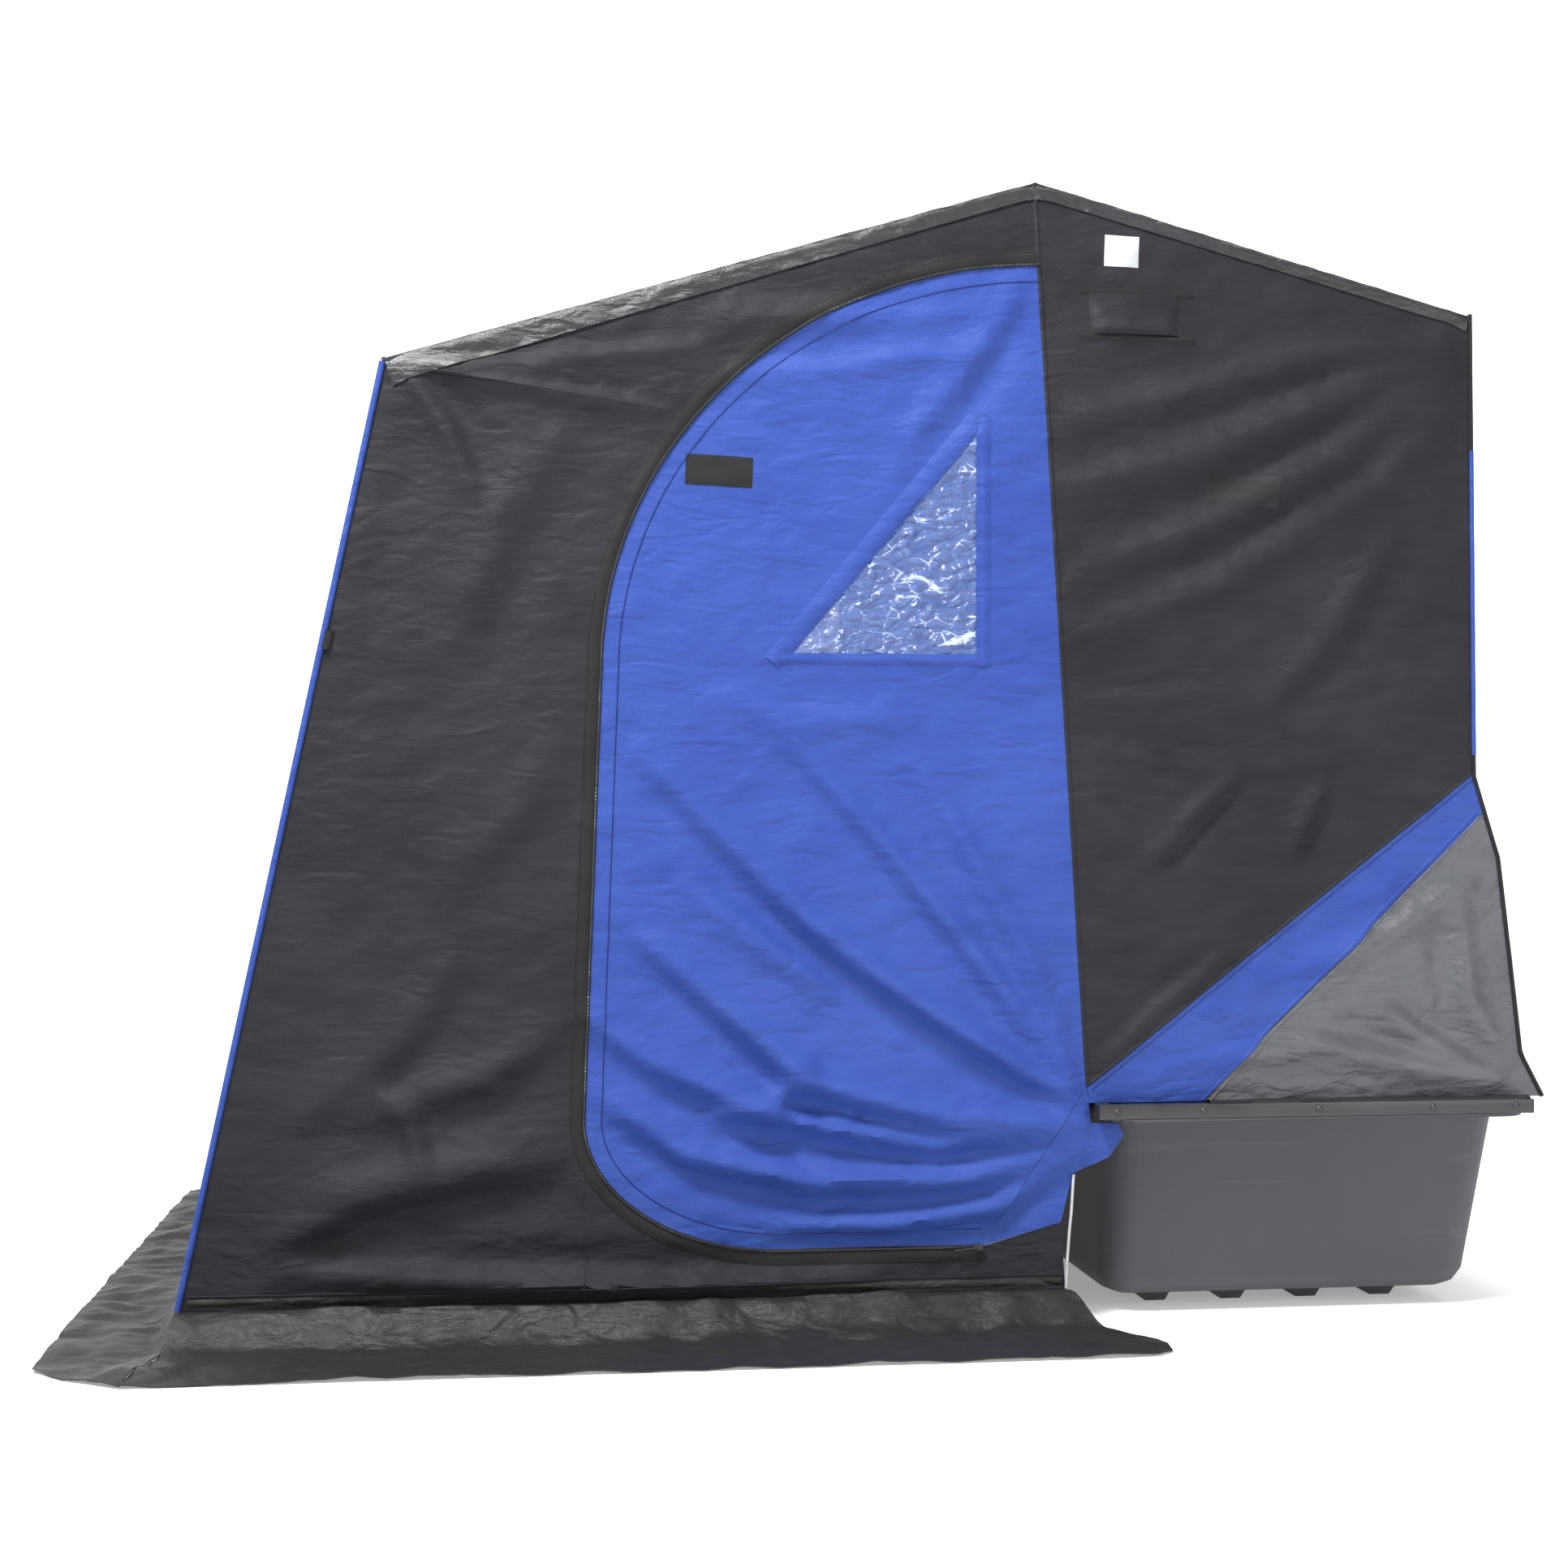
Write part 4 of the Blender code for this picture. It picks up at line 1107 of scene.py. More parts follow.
@dataclass
class SideCanopy:
    """Everything sewn into one side wall, ahead of and behind the middle seam."""

    side: Side
    finishes: Finishes
    split: float = 1.12
    zip_tape: float = 0.026
    wall: SideWall = field(init=False)

    def __post_init__(self) -> None:
        """Set the wall up."""
        self.wall = SideWall(self.side)

    def build(self) -> None:
        """Make the side wall's cloth and everything on it."""
        self.door()
        self.window()
        self.window_frame()
        self.front()
        self.rear()
        self.trim()
        self.patches()
        self.vent()
        self.pull()

    def name(self, part: str) -> str:
        """A piece's name on this side."""
        return f"{part}_{self.side.label}"

    def cloth(
        self, part: str, mesh: bmesh.types.BMesh, look: Look, carry: Carry, nodes: Sequence[str]
    ) -> bpy.types.Object:
        """Args:
            part: the piece's name without its side.
            mesh: the flat net.
            look: its finish.
            carry: how it moves.
            nodes: the frame's nodes that it stands for.

        Returns:
            The panel.
        """
        area = sum(face.calc_area() for face in mesh.faces)
        piece = placed(self.name(part), self.wall.drape(mesh), look, carry, nodes, CLOTH)
        return piece

    def taped(self, part: str, tape: Tape, look: Look, carry: Carry) -> bpy.types.Object:
        """Sew one tape on."""
        return placed(self.name(part), self.wall.drape(tape.mesh()), look, carry, thick=0.0012)

    def stitched(self, part: str, line: Sequence[Point], offset: float, carry: Carry, look: Look) -> None:
        """Sew one row of stitches along a line."""
        row = Tape(line, offset - 0.0011, offset + 0.0011, 0.0007, 0.0035, 2, 0.0011)
        placed(self.name(part), self.wall.drape(row.mesh(), 0.0003), look, carry, thick=0.0008)

    @property
    def door_carry(self) -> Carry:
        """How the door and what is sewn on it move."""
        return on_arm(f"door_{self.side.label}", 0.05)

    def door(self) -> None:
        """The blue door."""
        looks = self.finishes
        mesh = self.wall.face_of("door")
        self.cloth("door_cloth", mesh, looks.blue, self.door_carry, [self.name("door")])
        self.stitched("door_edge_stitches", ZIP_LINE, -0.030, self.door_carry, looks.stitch)

    def window(self) -> None:
        """The clear three-cornered window."""
        mesh = self.wall.outline(WINDOW, 0.006)
        seed = 2.0 + self.side.value

        def crinkle(points: np.ndarray) -> np.ndarray:
            """Wrinkle the film inside its seam.

            Args:
                points: the flat net's points.

            Returns:
                The points in their new places.
            """
            inside = np.clip(apart(points[:, 0], points[:, 2], (*WINDOW, WINDOW[0])) / 0.02, 0, 1)
            flat = points * (1, 0, 1)
            fine = swirl(flat, (36.0, 1.0, 52.0), seed) * 0.0016
            fine = fine + swirl(flat, (90.0, 1.0, 70.0), seed) * 0.0007
            return flat + np.outer(fine * inside - 0.0012, (0, 1, 0))

        remap(mesh, crinkle)
        pane = placed(
            self.name("window_film"),
            self.wall.drape(mesh),
            self.finishes.film,
            self.door_carry,
            [self.name("window")],
            0.0008,
        )
        self.name("door")

    def window_frame(self) -> None:
        """The blue strips round the window, with their stitches."""
        low, corner, high = WINDOW
        slope = np.array(high) - np.array(low)
        slope = slope / np.linalg.norm(slope)
        far = tuple(np.array(low) - slope * 0.035)
        top = tuple(np.array(high) + slope * 0.02)
        left = (low[0] - 0.030, low[1])
        edges = {
            "slope": ((far, top), -0.034, 0.001),
            "sill": ((left, (corner[0] + 0.018, corner[1])), -0.001, 0.020),
            "jamb": (((corner[0], corner[1] - 0.018), (high[0], high[1] + 0.03)), -0.001, 0.026),
        }
        looks, carry = self.finishes, self.door_carry
        for edge, (line, inner, outer) in edges.items():
            strip = Tape(line, inner, outer, 0.0034)
            self.taped(f"window_{edge}_strip", strip, looks.blue, carry)
            offset = (inner + outer) * 0.12
            self.stitched(f"window_{edge}_stitches", line, offset, carry, looks.stitch)

    def front(self) -> None:
        """The black panels ahead of the door, the hem under it and the blue gusset behind its sill."""
        looks, wall = self.finishes, self.wall
        high, low = on_arm("mid_bow"), on_arm("mid_tubes")
        gable = wall.face_of("gable_panel")
        self.cloth("gable_cloth", gable, looks.black, high, [self.name("gable_panel")])
        halves = (("front_cloth_upper", high, True), ("front_cloth_lower", low, False))
        for part, carry, keep_high in halves:
            mesh = wall.face_of("front_panel")
            everything = [*mesh.verts, *mesh.edges, *mesh.faces]
            bmesh.ops.bisect_plane(
                mesh,
                geom=everything,
                plane_co=(0, 0, self.split),
                plane_no=(0, 0, 1),
                clear_outer=not keep_high,
                clear_inner=keep_high,
            )
            self.cloth(part, mesh, looks.black, carry, [self.name("front_panel")])
        sill = [*HEEL_ARC, (0.2736, 0.1405), (0.414, 0.179), (0.4205, 0.075)]
        self.cloth("hem_cloth", wall.below(sill, HEM[1]), looks.black, low, [self.name("hem_panel")])
        low_edge = [(0.2736, 0.1412), (0.414, 0.1795), (0.437, 0.264), (0.501, 0.293)]
        high_edge = [(0.527, 0.332), (0.529, 0.351), (0.4655, 0.352), (0.4600, 0.4185)]
        gusset = wall.outline([*low_edge, *high_edge])
        self.cloth("blue_gusset", gusset, looks.blue, low, ())

    def rear(self) -> None:
        """The panels behind the middle seam, down to the sled's rim."""
        for part, look in (
            ("rear_panel", self.finishes.black),
            ("corner_band", self.finishes.blue),
            ("corner_panel", self.finishes.grey),
        ):
            self.cloth(part + "_cloth", self.wall.face_of(part), look, ON_SLED, [self.name(part)])

    def trim(self) -> None:
        """Zip, seams and bindings."""
        looks, low, high = self.finishes, on_arm("mid_tubes"), on_arm("mid_bow")
        upper = HEAD_ARC
        lower = [HEAD_ARC[-1], *HEEL_ARC, (0.2736, 0.141)]
        for part, line, carry in (("upper", upper, high), ("lower", lower, low)):
            self.taped(f"zip_tape_{part}", Tape(line, 0.0, self.zip_tape, 0.0026), looks.tape, carry)
            coil = Tape(line, -0.003, 0.004, 0.0036, 0.003, 3, 0.0012)
            self.taped(f"zip_coil_{part}", coil, looks.plastic, carry)
            self.stitched(f"zip_stitches_{part}", line, self.zip_tape - 0.003, carry, looks.black)
        self.taped("mid_seam", Tape(SEAM, -0.004, 0.005, 0.0022), looks.black, on_arm("mid_tubes", 0.5))
        gable = ((EAVE[0] + 0.01, EAVE[1] - 0.014), (-0.287, 1.590))
        self.taped("gable_seam", Tape(gable, -0.004, 0.004, 0.0018), looks.black, high)
        band = ((0.4630, 0.4185), (1.172, 0.966))
        self.taped("band_upper_seam", Tape(band, -0.003, 0.003, 0.0018), looks.black, ON_SLED)
        low_band = ((0.6690, 0.390), (1.180, 0.897))
        self.taped("band_lower_seam", Tape(low_band, -0.002, 0.0045, 0.0016), looks.blue, ON_SLED)
        self.stitched("band_stitches", band, 0.010, ON_SLED, looks.stitch)
        self.stitched("grey_stitches", low_band, 0.011, ON_SLED, looks.grey)
        heel = ((HEEL, 0.372), (HEEL, HEM[1] + 0.001))
        self.taped("heel_seam", Tape(heel, -0.003, 0.003, 0.0009), looks.black, low)
        hem = ((-1.07, 0.073), (0.414, 0.073))
        self.taped("hem_seam", Tape(hem, -0.011, 0.002, 0.0022), looks.skirt, low)
        self.stitched("hem_stitches", hem, -0.016, low, looks.black)

    def patches(self) -> None:
        """Hook-and-loop patches and the plain white one."""
        looks = self.finishes
        for patch, look, carry in (
            (Patch("door_hook_patch", (-0.187, 1.484), (0.117, 0.053), 2.0), looks.hooks, self.door_carry),
            (Patch("rear_hook_patch", (0.750, 1.469), (0.124, 0.055), 3.0), looks.hooks, ON_SLED),
            (Patch("white_patch", (0.529, 1.890), (0.062, 0.056), 2.0), looks.white, ON_SLED),
        ):
            placed(self.name(patch.name), self.wall.drape(patch.mesh(), 0.0006), look, carry, thick=0.0012)

    def vent(self) -> None:
        """The hooded vent with its sewn frame."""
        looks, centre, size = self.finishes, (0.5516, 1.778), (0.155, 0.076)
        mesh = grid(20, 12)

        def hood(points: np.ndarray) -> np.ndarray:
            """Raise the hood, open at its foot.

            Args:
                points: the flat net's points.

            Returns:
                The points in their new places.
            """
            side = 1 - (2 * points[:, 0] - 1) ** 6
            height = 0.002 + 0.013 * side * (1 - points[:, 1]) ** 0.7 * np.clip(points[:, 1] * 9, 0.25, 1)
            x = centre[0] + (points[:, 0] - 0.5) * size[0]
            return np.stack([x, height, centre[1] + (points[:, 1] - 0.5) * size[1]], axis=1)

        remap(mesh, hood)
        self.wall.drape(mesh)
        nodes = [self.name("vent_hood")]
        placed(self.name("vent_hood_cloth"), mesh, looks.black, ON_SLED, nodes, 0.0015)
        left, right = centre[0] - size[0] / 2, centre[0] + size[0] / 2
        bottom, top = centre[1] - size[1] / 2, centre[1] + size[1] / 2
        for part, line in (
            ("top", ((left - 0.022, top), (right + 0.028, top - 0.004))),
            ("bottom", ((left - 0.022, bottom - 0.006), (right + 0.028, bottom - 0.010))),
            ("front", ((left, top), (left, bottom))),
            ("back", ((right, bottom), (right, top))),
        ):
            self.taped(f"vent_{part}_tape", Tape(line, -0.009, 0.004, 0.0024), looks.tape, ON_SLED)

    def pull(self) -> None:
        """The zip's slider with its cord tab."""
        carry = on_arm(f"zip_{self.side.label}")
        body = bmesh.new()
        bmesh.ops.create_cube(body, size=1)
        bmesh.ops.scale(body, verts=body.verts, vec=(0.017, 0.006, 0.013))
        bmesh.ops.bevel(
            body, geom=body.edges, offset=0.002, affect="EDGES", segments=2, profile=0.5, material=-1
        )
        route = [(-0.004, 0.0035, 0), (-0.016, 0.0065, -0.001), (-0.030, 0.006, -0.003)]
        tab = tube([*route, (-0.041, 0.003, -0.004)], 0.0024)
        sign = self.side.value
        spot = np.array([0.2650, sign * (WALL + 0.0052), 0.1405])
        for part, mesh, nodes in (("zip_slider", body, [self.name("zip_pull")]), ("zip_tab", tab, [])):
            remap(mesh, lambda points: points * (1, sign, 1) + spot)
            bmesh.ops.recalc_face_normals(mesh, faces=mesh.faces)
            placed(self.name(part), mesh, self.finishes.plastic, carry, nodes)


# ---------------------------------------------------------------- panels from wall to wall


def rounded(line: Sequence[Point], radius: float, step: float) -> np.ndarray:
    """Points along a line whose corners are rounded off.

    Args:
        line: the line's points.
        radius: how far from a corner the rounding starts.
        step: the distance between points, about.

    Returns:
        The points.
    """
    corners = [Vector((*point, 0)) for point in line]
    path = [corners[0]]
    for before, here, after in zip(corners, corners[1:], corners[2:]):
        start = here + (before - here).normalized() * radius
        end = here + (after - here).normalized() * radius
        path += [start.lerp(here, t).lerp(here.lerp(end, t), t) for t in (0, 0.2, 0.4, 0.6, 0.8, 1)]
    path.append(corners[-1])
    return spaced([(point.x, point.y) for point in path], step)


@dataclass(frozen=True)
class CrossPanel:
    """A panel that runs over the canopy from wall to wall and may turn down over both of them."""

    name: str
    line: tuple[Point, ...]
    look: Look
    carry: Carry
    node: str
    flap: Point = (0.0, 0.0)
    sag: float = 0.004
    bulge: float = 0.0
    seed: float = 1.0
    radius: float = 0.03
    step: float = 0.013
    columns: int = 132
    turned_columns: int = 8

    def build(self) -> bpy.types.Object:
        """Make the panel.

        Returns:
            The panel.
        """
        centres = rounded(self.line, self.radius, self.step)
        heading = np.gradient(centres, axis=0)
        heading /= np.linalg.norm(heading, axis=1)[:, None]
        out = np.stack([-heading[:, 1], heading[:, 0]], axis=1)
        count, across = len(centres) - 1, self.columns
        made = grid(count, across)
        turned = self.turned_columns if max(self.flap) else 0

        def move(points: np.ndarray) -> np.ndarray:
            """Put each point of the flat net in its place.

            Args:
                points: the flat net's points.

            Returns:
                The points in their new places.
            """
            index = np.clip(np.rint(points[:, 0] * count).astype(int), 0, count)
            column = np.rint(points[:, 1] * across).astype(int)
            share = points[:, 0]
            edge_column = np.minimum(column, across - column)
            past = np.clip(turned - edge_column, 0, turned) / max(turned, 1)
            inner = (column - across / 2) / (across / 2 - turned)
            y = np.clip(inner, -1, 1) * (WALL - 0.0005)
            flap = self.flap[0] + (self.flap[1] - self.flap[0]) * share
            mid = np.sin(pi * share) ** 0.7 * (1 - (y / WALL) ** 4)
            flat = np.stack([share * count * self.step, y, np.zeros_like(y)], axis=1)
            soft = swirl(flat, (2.6, 2.0, 1), self.seed) * 0.005
            soft = soft + swirl(flat, (8.0, 4.5, 1), self.seed) * 0.0025
            ridged = 0.0012 * (1 - 2 * np.abs(swirl(flat, (14.0, 9.0, 1), self.seed + 3)))
            beside = np.exp(-(1 - np.abs(y) / WALL) / 0.03)
            pucker = 0.0018 * swirl(flat, (32.0, 6.0, 1), self.seed + 6) * beside
            lift = (soft + ridged) * mid + pucker * (past == 0) - self.sag * mid + self.bulge * mid - 0.0005
            ends = np.minimum(share, 1 - share) * count * self.step
            lift = lift - 0.005 * np.exp(-((ends / 0.022) ** 2)) * (turned > 0)
            lift = lift - 0.003 * np.exp(-(WALL - np.abs(y)) / 0.004) * (turned > 0) - flap * past
            x = centres[index, 0] + out[index, 0] * lift
            z = centres[index, 1] + out[index, 1] * lift
            left = SideWall(Side.LEFT).stand_off(x, z) * (y < 0)
            wall = left + SideWall(Side.RIGHT).stand_off(x, z) * (y >= 0)
            ripple = 0.0012 * swirl(flat, (38.0, 1.0, 1), self.seed)
            lip = (wall + 0.0034 + ripple) * np.clip(past * 4, 0, 1)
            y = y + np.sign(y) * lip
            return np.stack([x, y, z], axis=1)

        remap(made, move)
        made.normal_update()
        made.faces.ensure_lookup_table()
        middle = made.faces[len(made.faces) // 2]
        if middle.normal.dot(Vector((*out[len(out) // 2], 0)).xzy) < 0:
            bmesh.ops.reverse_faces(made, faces=made.faces)
        wide = 2 * WALL + self.flap[0] + self.flap[1]
        piece = placed(self.name, made, self.look, self.carry, [self.node], CLOTH)
        return piece


@dataclass(frozen=True)
class Edging:
    """A cord or band sewn where two panels meet, on both sides of the shelter."""

    name: str
    line: tuple[Point, ...]
    radius: float
    look: Look
    carry: Carry
    stand: float = 0.001

    def build(self) -> None:
        """Make both sides' edgings."""
        for side in Side:
            points = spaced(self.line, 0.015)
            flat = np.stack([points[:, 0], points[:, 1], np.zeros(len(points))], axis=1)
            wander = 0.0009 * swirl(flat, (16.0, 16.0, 1.0), 4.0 + side.value)
            y = side.value * (WALL + self.stand + wander)
            path = [(x, level, z) for (x, z), level in zip(points, y)]
            placed(f"{self.name}_{side.label}", tube(path, self.radius, sides=3), self.look, self.carry)


def paired(points: np.ndarray, shares: np.ndarray) -> np.ndarray:
    """Points of a line, taken at shares of their count."""
    marks = np.linspace(0, 1, len(points))
    return np.stack([np.interp(shares, marks, points[:, k]) for k in (0, 1)], axis=1)


@dataclass(frozen=True)
class Skirt:
    """A flap of cloth that lies out over the ground from a hem."""

    name: str
    inner: tuple[Point, ...]
    outer: tuple[Point, ...]
    look: Look
    carry: Carry
    node: str
    seed: float
    drop: float = 0.085
    top: float = 0.0605
    rows: int = 26

    def build(self) -> bpy.types.Object:
        """Make the skirt.

        Returns:
            The skirt.
        """
        near, far = spaced(self.inner, NET), spaced(self.outer, NET)
        count = max(len(near), len(far))
        along = np.linspace(0, 1, count + 1)
        near, far = paired(near, along), paired(far, along)
        made = grid(count, self.rows)

        def move(points: np.ndarray) -> np.ndarray:
            """Put each point of the flat net in its place.

            Args:
                points: the flat net's points.

            Returns:
                The points in their new places.
            """
            index = np.clip(np.rint(points[:, 0] * count).astype(int), 0, count)
            share = points[:, 1][:, None]
            plan = near[index] * (1 - share) + far[index] * share
            gone = np.hypot(*(plan - near[index]).T)
            flat = np.stack([plan[:, 0], plan[:, 1], np.zeros(len(plan))], axis=1)
            fall = np.clip(gone / self.drop, 0, 1)
            base = self.top * (1 - fall * fall * (3 - 2 * fall))
            rolls = swirl(flat, (5.5, 9.0, 1), self.seed) * 0.012
            rolls = rolls + swirl(flat, (13.0, 17.0, 1), self.seed) * 0.007
            ridge = 0.006 * (1 - 2.4 * np.abs(swirl(flat, (10.0, 20.0, 1), self.seed + 4)))
            free = np.clip(gone / 0.02, 0, 1)
            to_go = np.linalg.norm(far[index] - near[index], axis=1) - gone
            rim = 0.45 + 0.55 * np.clip(to_go / 0.05, 0, 1)
            bumps = (rolls + ridge + 0.005) * free * rim
            z = np.clip(base + np.maximum(bumps, 0.0), 0, 0.075)
            z = z + 0.0032 + 0.0008 * swirl(flat, (40.0, 40.0, 1), self.seed) * free
            return np.stack([plan[:, 0], plan[:, 1], z], axis=1)

        remap(made, move)
        made.normal_update()
        downward = [face for face in made.faces if face.normal.z < 0]
        if len(downward) > len(made.faces) / 2:
            bmesh.ops.reverse_faces(made, faces=made.faces)
        area = sum(face.calc_area() for face in made.faces)
        flat = cut_size(np.array([(vert.co.x, vert.co.y) for vert in made.verts]))
        piece = placed(self.name, made, self.look, self.carry, [self.node], CLOTH)
        area = min(area, flat[0] * flat[1])
        return piece


@dataclass
class Canopy:
    """The panels over the canopy, its edgings and its ground skirts."""

    finishes: Finishes

    def build(self) -> None:
        """Make them."""
        looks = self.finishes
        wall_line = (HEM[0] - EAVE[0], 0.0, HEM[1] - EAVE[1])
        along = Vector(wall_line).normalized()
        front_carry = Carry("ground_bow", tuple(along), (HEM[0], 0.0, HEM[1]), 0.06)
        roof_front = Carry("mid_bow", (1.0, 0.0, 0.0), (PEAK[0], 0.0, PEAK[1]), 0.08)
        roof_rear = Carry("rear_bow", (1.0, 0.0, 0.0), (1.157, 0.0, REAR_TOP[1]), 0.1)
        front = (EAVE[0] + 0.001, EAVE[1])
        back = (REAR_TOP[0] - 0.001, REAR_TOP[1])
        for panel in (
            CrossPanel(
                "roof_cloth_front",
                (front, PEAK),
                looks.roof,
                roof_front,
                "roof_front",
                (0.046, 0.026),
                seed=2.0,
            ),
            CrossPanel(
                "roof_cloth_rear",
                (PEAK, back),
                looks.roof,
                roof_rear,
                "roof_rear",
                (0.026, 0.024),
                seed=5.0,
            ),
            CrossPanel("front_wall_cloth", (HEM, EAVE), looks.black, front_carry, "front_wall", seed=8.0),
            CrossPanel(
                "rear_wall_cloth",
                (REAR_TOP, *REAR_LINE),
                looks.black,
                ON_SLED,
                "rear_wall",
                bulge=0.008,
                sag=0,
                seed=9.0,
            ),
        ):
            panel.build()
        self.edgings(front_carry, roof_front, roof_rear)
        self.skirts()

    def edgings(self, front_carry: Carry, roof_front: Carry, roof_rear: Carry) -> None:
        """Piping and welts where the panels meet.

        Args:
            front_carry: how the front wall moves.
            roof_front: how the roof's front slope moves.
            roof_rear: how the roof's rear slope moves.
        """
        looks = self.finishes
        eave = (EAVE[0] - 0.001, EAVE[1] - 0.010)
        hem = (HEM[0] - 0.001, HEM[1] + 0.004)
        upright = ((1.1783, 1.55), (1.1783, 1.00))
        for edging in (
            Edging("front_piping", (eave, hem), 0.0055, looks.blue, front_carry),
            Edging("front_tab", ((-0.8455, 1.198), (-0.8525, 1.168)), 0.0085, looks.tape, front_carry),
            Edging("rear_piping", (REAR_TOP, REAR_LINE[0]), 0.0035, looks.tape, ON_SLED),
            Edging("rear_blue_piping", upright, 0.004, looks.blue, ON_SLED, 0.0015),
            Edging("rear_low_piping", REAR_LINE, 0.004, looks.tape, ON_SLED),
        ):
            edging.build()
        for name, (x, z), carry in (
            ("eave_welt", EAVE, roof_front),
            ("ridge_welt", PEAK, roof_front),
            ("rear_welt", REAR_TOP, roof_rear),
        ):
            reach = np.linspace(-WALL, WALL, 121)
            flat = np.stack([reach, np.zeros(121), np.zeros(121)], axis=1)
            wander = 0.0012 * swirl(flat, (9.0, 1.0, 1.0), x + 7)
            path = [(x, y, z - 0.0055 + shift) for y, shift in zip(reach, wander)]
            placed(name, tube(path, 0.003, sides=3), looks.roof, carry)

    def skirts(self) -> None:
        """The flaps on the ground."""
        looks = self.finishes
        for side in Side:
            s = side.value
            inner = ((HEM[0], s * WALL), (0.4216, s * WALL))
            outer = ((-1.140, s * 1.03), (0.44, s * 1.03), (0.515, s * 1.024))
            outer = (*outer, (0.548, s * 0.998), (0.551, s * 0.955), (0.546, s * 0.92))
            Skirt(
                f"side_skirt_cloth_{side.label}",
                inner,
                outer,
                looks.skirt,
                on_arm("mid_tubes"),
                f"side_skirt_{side.label}",
                5.0 + s,
            ).build()
        carry = Carry("ground_bow", (1.0, 0.0, 0.0), (HEM[0], 0.0, 0.03), 0.3)
        inner = ((HEM[0], -WALL), (HEM[0], WALL))
        half = ((-1.139, 1.03), (-1.235, 0.965), (-1.295, 0.90), (-1.3, 0.6))
        outer = (*((x, -y) for x, y in half), *reversed(half))
        Skirt("front_skirt_cloth", inner, outer, looks.skirt, carry, "front_skirt", 12.0).build()


# ---------------------------------------------------------------- sled, frame and seats


@dataclass
class Sled:
    """The moulded tub with its rim bars and their fastenings."""

    finishes: Finishes
    strip: tuple[float, float] = (0.672, 1.262)
    screw: float = 0.0055

    def build(self) -> None:
        """Make the sled."""
        looks = self.finishes
        tub = merged("sled_tub")
        placed("sled_moulding", tub, looks.sled, Carry("sled"), ["sled_tub"], sharp=32)
        for rail in ("front", "rear", "left", "right"):
            eased(f"rim_rail_{rail}", looks.rim, "sled", 0.0035, 3)
        for rail in ("front", "rear"):
            eased(f"seat_rail_{rail}", looks.rim, "sled", 0.003)
        for side in Side:
            self.strip_on(side)
            self.screws(side)
            self.plugs(side)
            eased(f"pivot_bracket_{side.label}", looks.steel, "sled", 0.0008)
            eased(f"pivot_bolt_{side.label}", looks.tube, "sled", 0.0008)

    def strip_on(self, side: Side) -> None:
        """The rubber strip that holds the canopy's foot down on the side rim bar.

        Args:
            side: the bar's side.
        """
        made = grid(40, 6)
        low, high = self.strip

        def move(points: np.ndarray) -> np.ndarray:
            """Put each point of the flat net in its place.

            Args:
                points: the flat net's points.

            Returns:
                The points in their new places.
            """
            turn = pi * points[:, 1]
            x = low + (high - low) * points[:, 0]
            flat = np.stack([x, np.zeros_like(x), np.zeros_like(x)], axis=1)
            height = 0.0062 + 0.0014 * swirl(flat, (12.0, 1.0, 1.0), 2.0 + side.value)
            y = side.value * (RIM_BAR + 0.0112 * np.cos(turn))
            return np.stack([x, y, 0.3866 + height * np.sin(turn)], axis=1)

        remap(made, move)
        bmesh.ops.holes_fill(made, edges=made.edges)
        bmesh.ops.recalc_face_normals(made, faces=made.faces)
        placed(f"rim_strip_{side.label}", made, self.finishes.plastic, Carry("sled"))

    def plugs(self, side: Side) -> None:
        """Plastic plugs in the open ends of the side rim bar.

        Args:
            side: the bar's side.
        """
        for end, x in (("front", 0.4738), ("rear", 1.2664)):
            mesh = bmesh.new()
            bmesh.ops.create_cube(mesh, size=1)
            bmesh.ops.scale(mesh, verts=mesh.verts, vec=(0.0036, 0.0244, 0.0244))
            bmesh.ops.bevel(
                mesh, geom=mesh.edges, offset=0.0012, affect="EDGES", segments=3, profile=0.5, material=-1
            )
            bmesh.ops.translate(mesh, verts=mesh.verts, vec=(x, side.value * RIM_BAR, 0.3741))
            placed(f"rim_plug_{end}_{side.label}", mesh, self.finishes.plastic, Carry("sled"))

    def screws(self, side: Side) -> None:
        """Pan-head screws with washers along the side rim bar.

        Args:
            side: the bar's side.
        """
        for index, x in enumerate((0.505, 0.66, 0.87, 1.08, 1.235)):
            mesh = bmesh.new()
            head = [(0, 0.0036), (0.0022, 0.0034), (0.0042, 0.0026), (self.screw, 0.0010)]
            profile = [*head, (0.0072, 0.0009), (0.0075, -0.0004)]
            verts = [mesh.verts.new((radius, 0, height)) for radius, height in profile]
            edges = [mesh.edges.new(pair) for pair in zip(verts, verts[1:])]
            bmesh.ops.spin(
                mesh,
                geom=[*verts, *edges],
                cent=(0, 0, 0),
                axis=(0, 0, 1),
                angle=2 * pi,
                steps=20,
                use_merge=True,
            )
            bmesh.ops.remove_doubles(mesh, verts=mesh.verts, dist=1e-5)
            turn = Matrix.Rotation(side.value * -pi / 2, 3, "X")
            bmesh.ops.rotate(mesh, verts=mesh.verts, cent=(0, 0, 0), matrix=turn)
            bmesh.ops.translate(mesh, verts=mesh.verts, vec=(x, side.value * 0.82, 0.3745))
            bmesh.ops.recalc_face_normals(mesh, faces=mesh.faces)
            placed(f"rim_screw_{index}_{side.label}", mesh, self.finishes.steel, Carry("sled"))


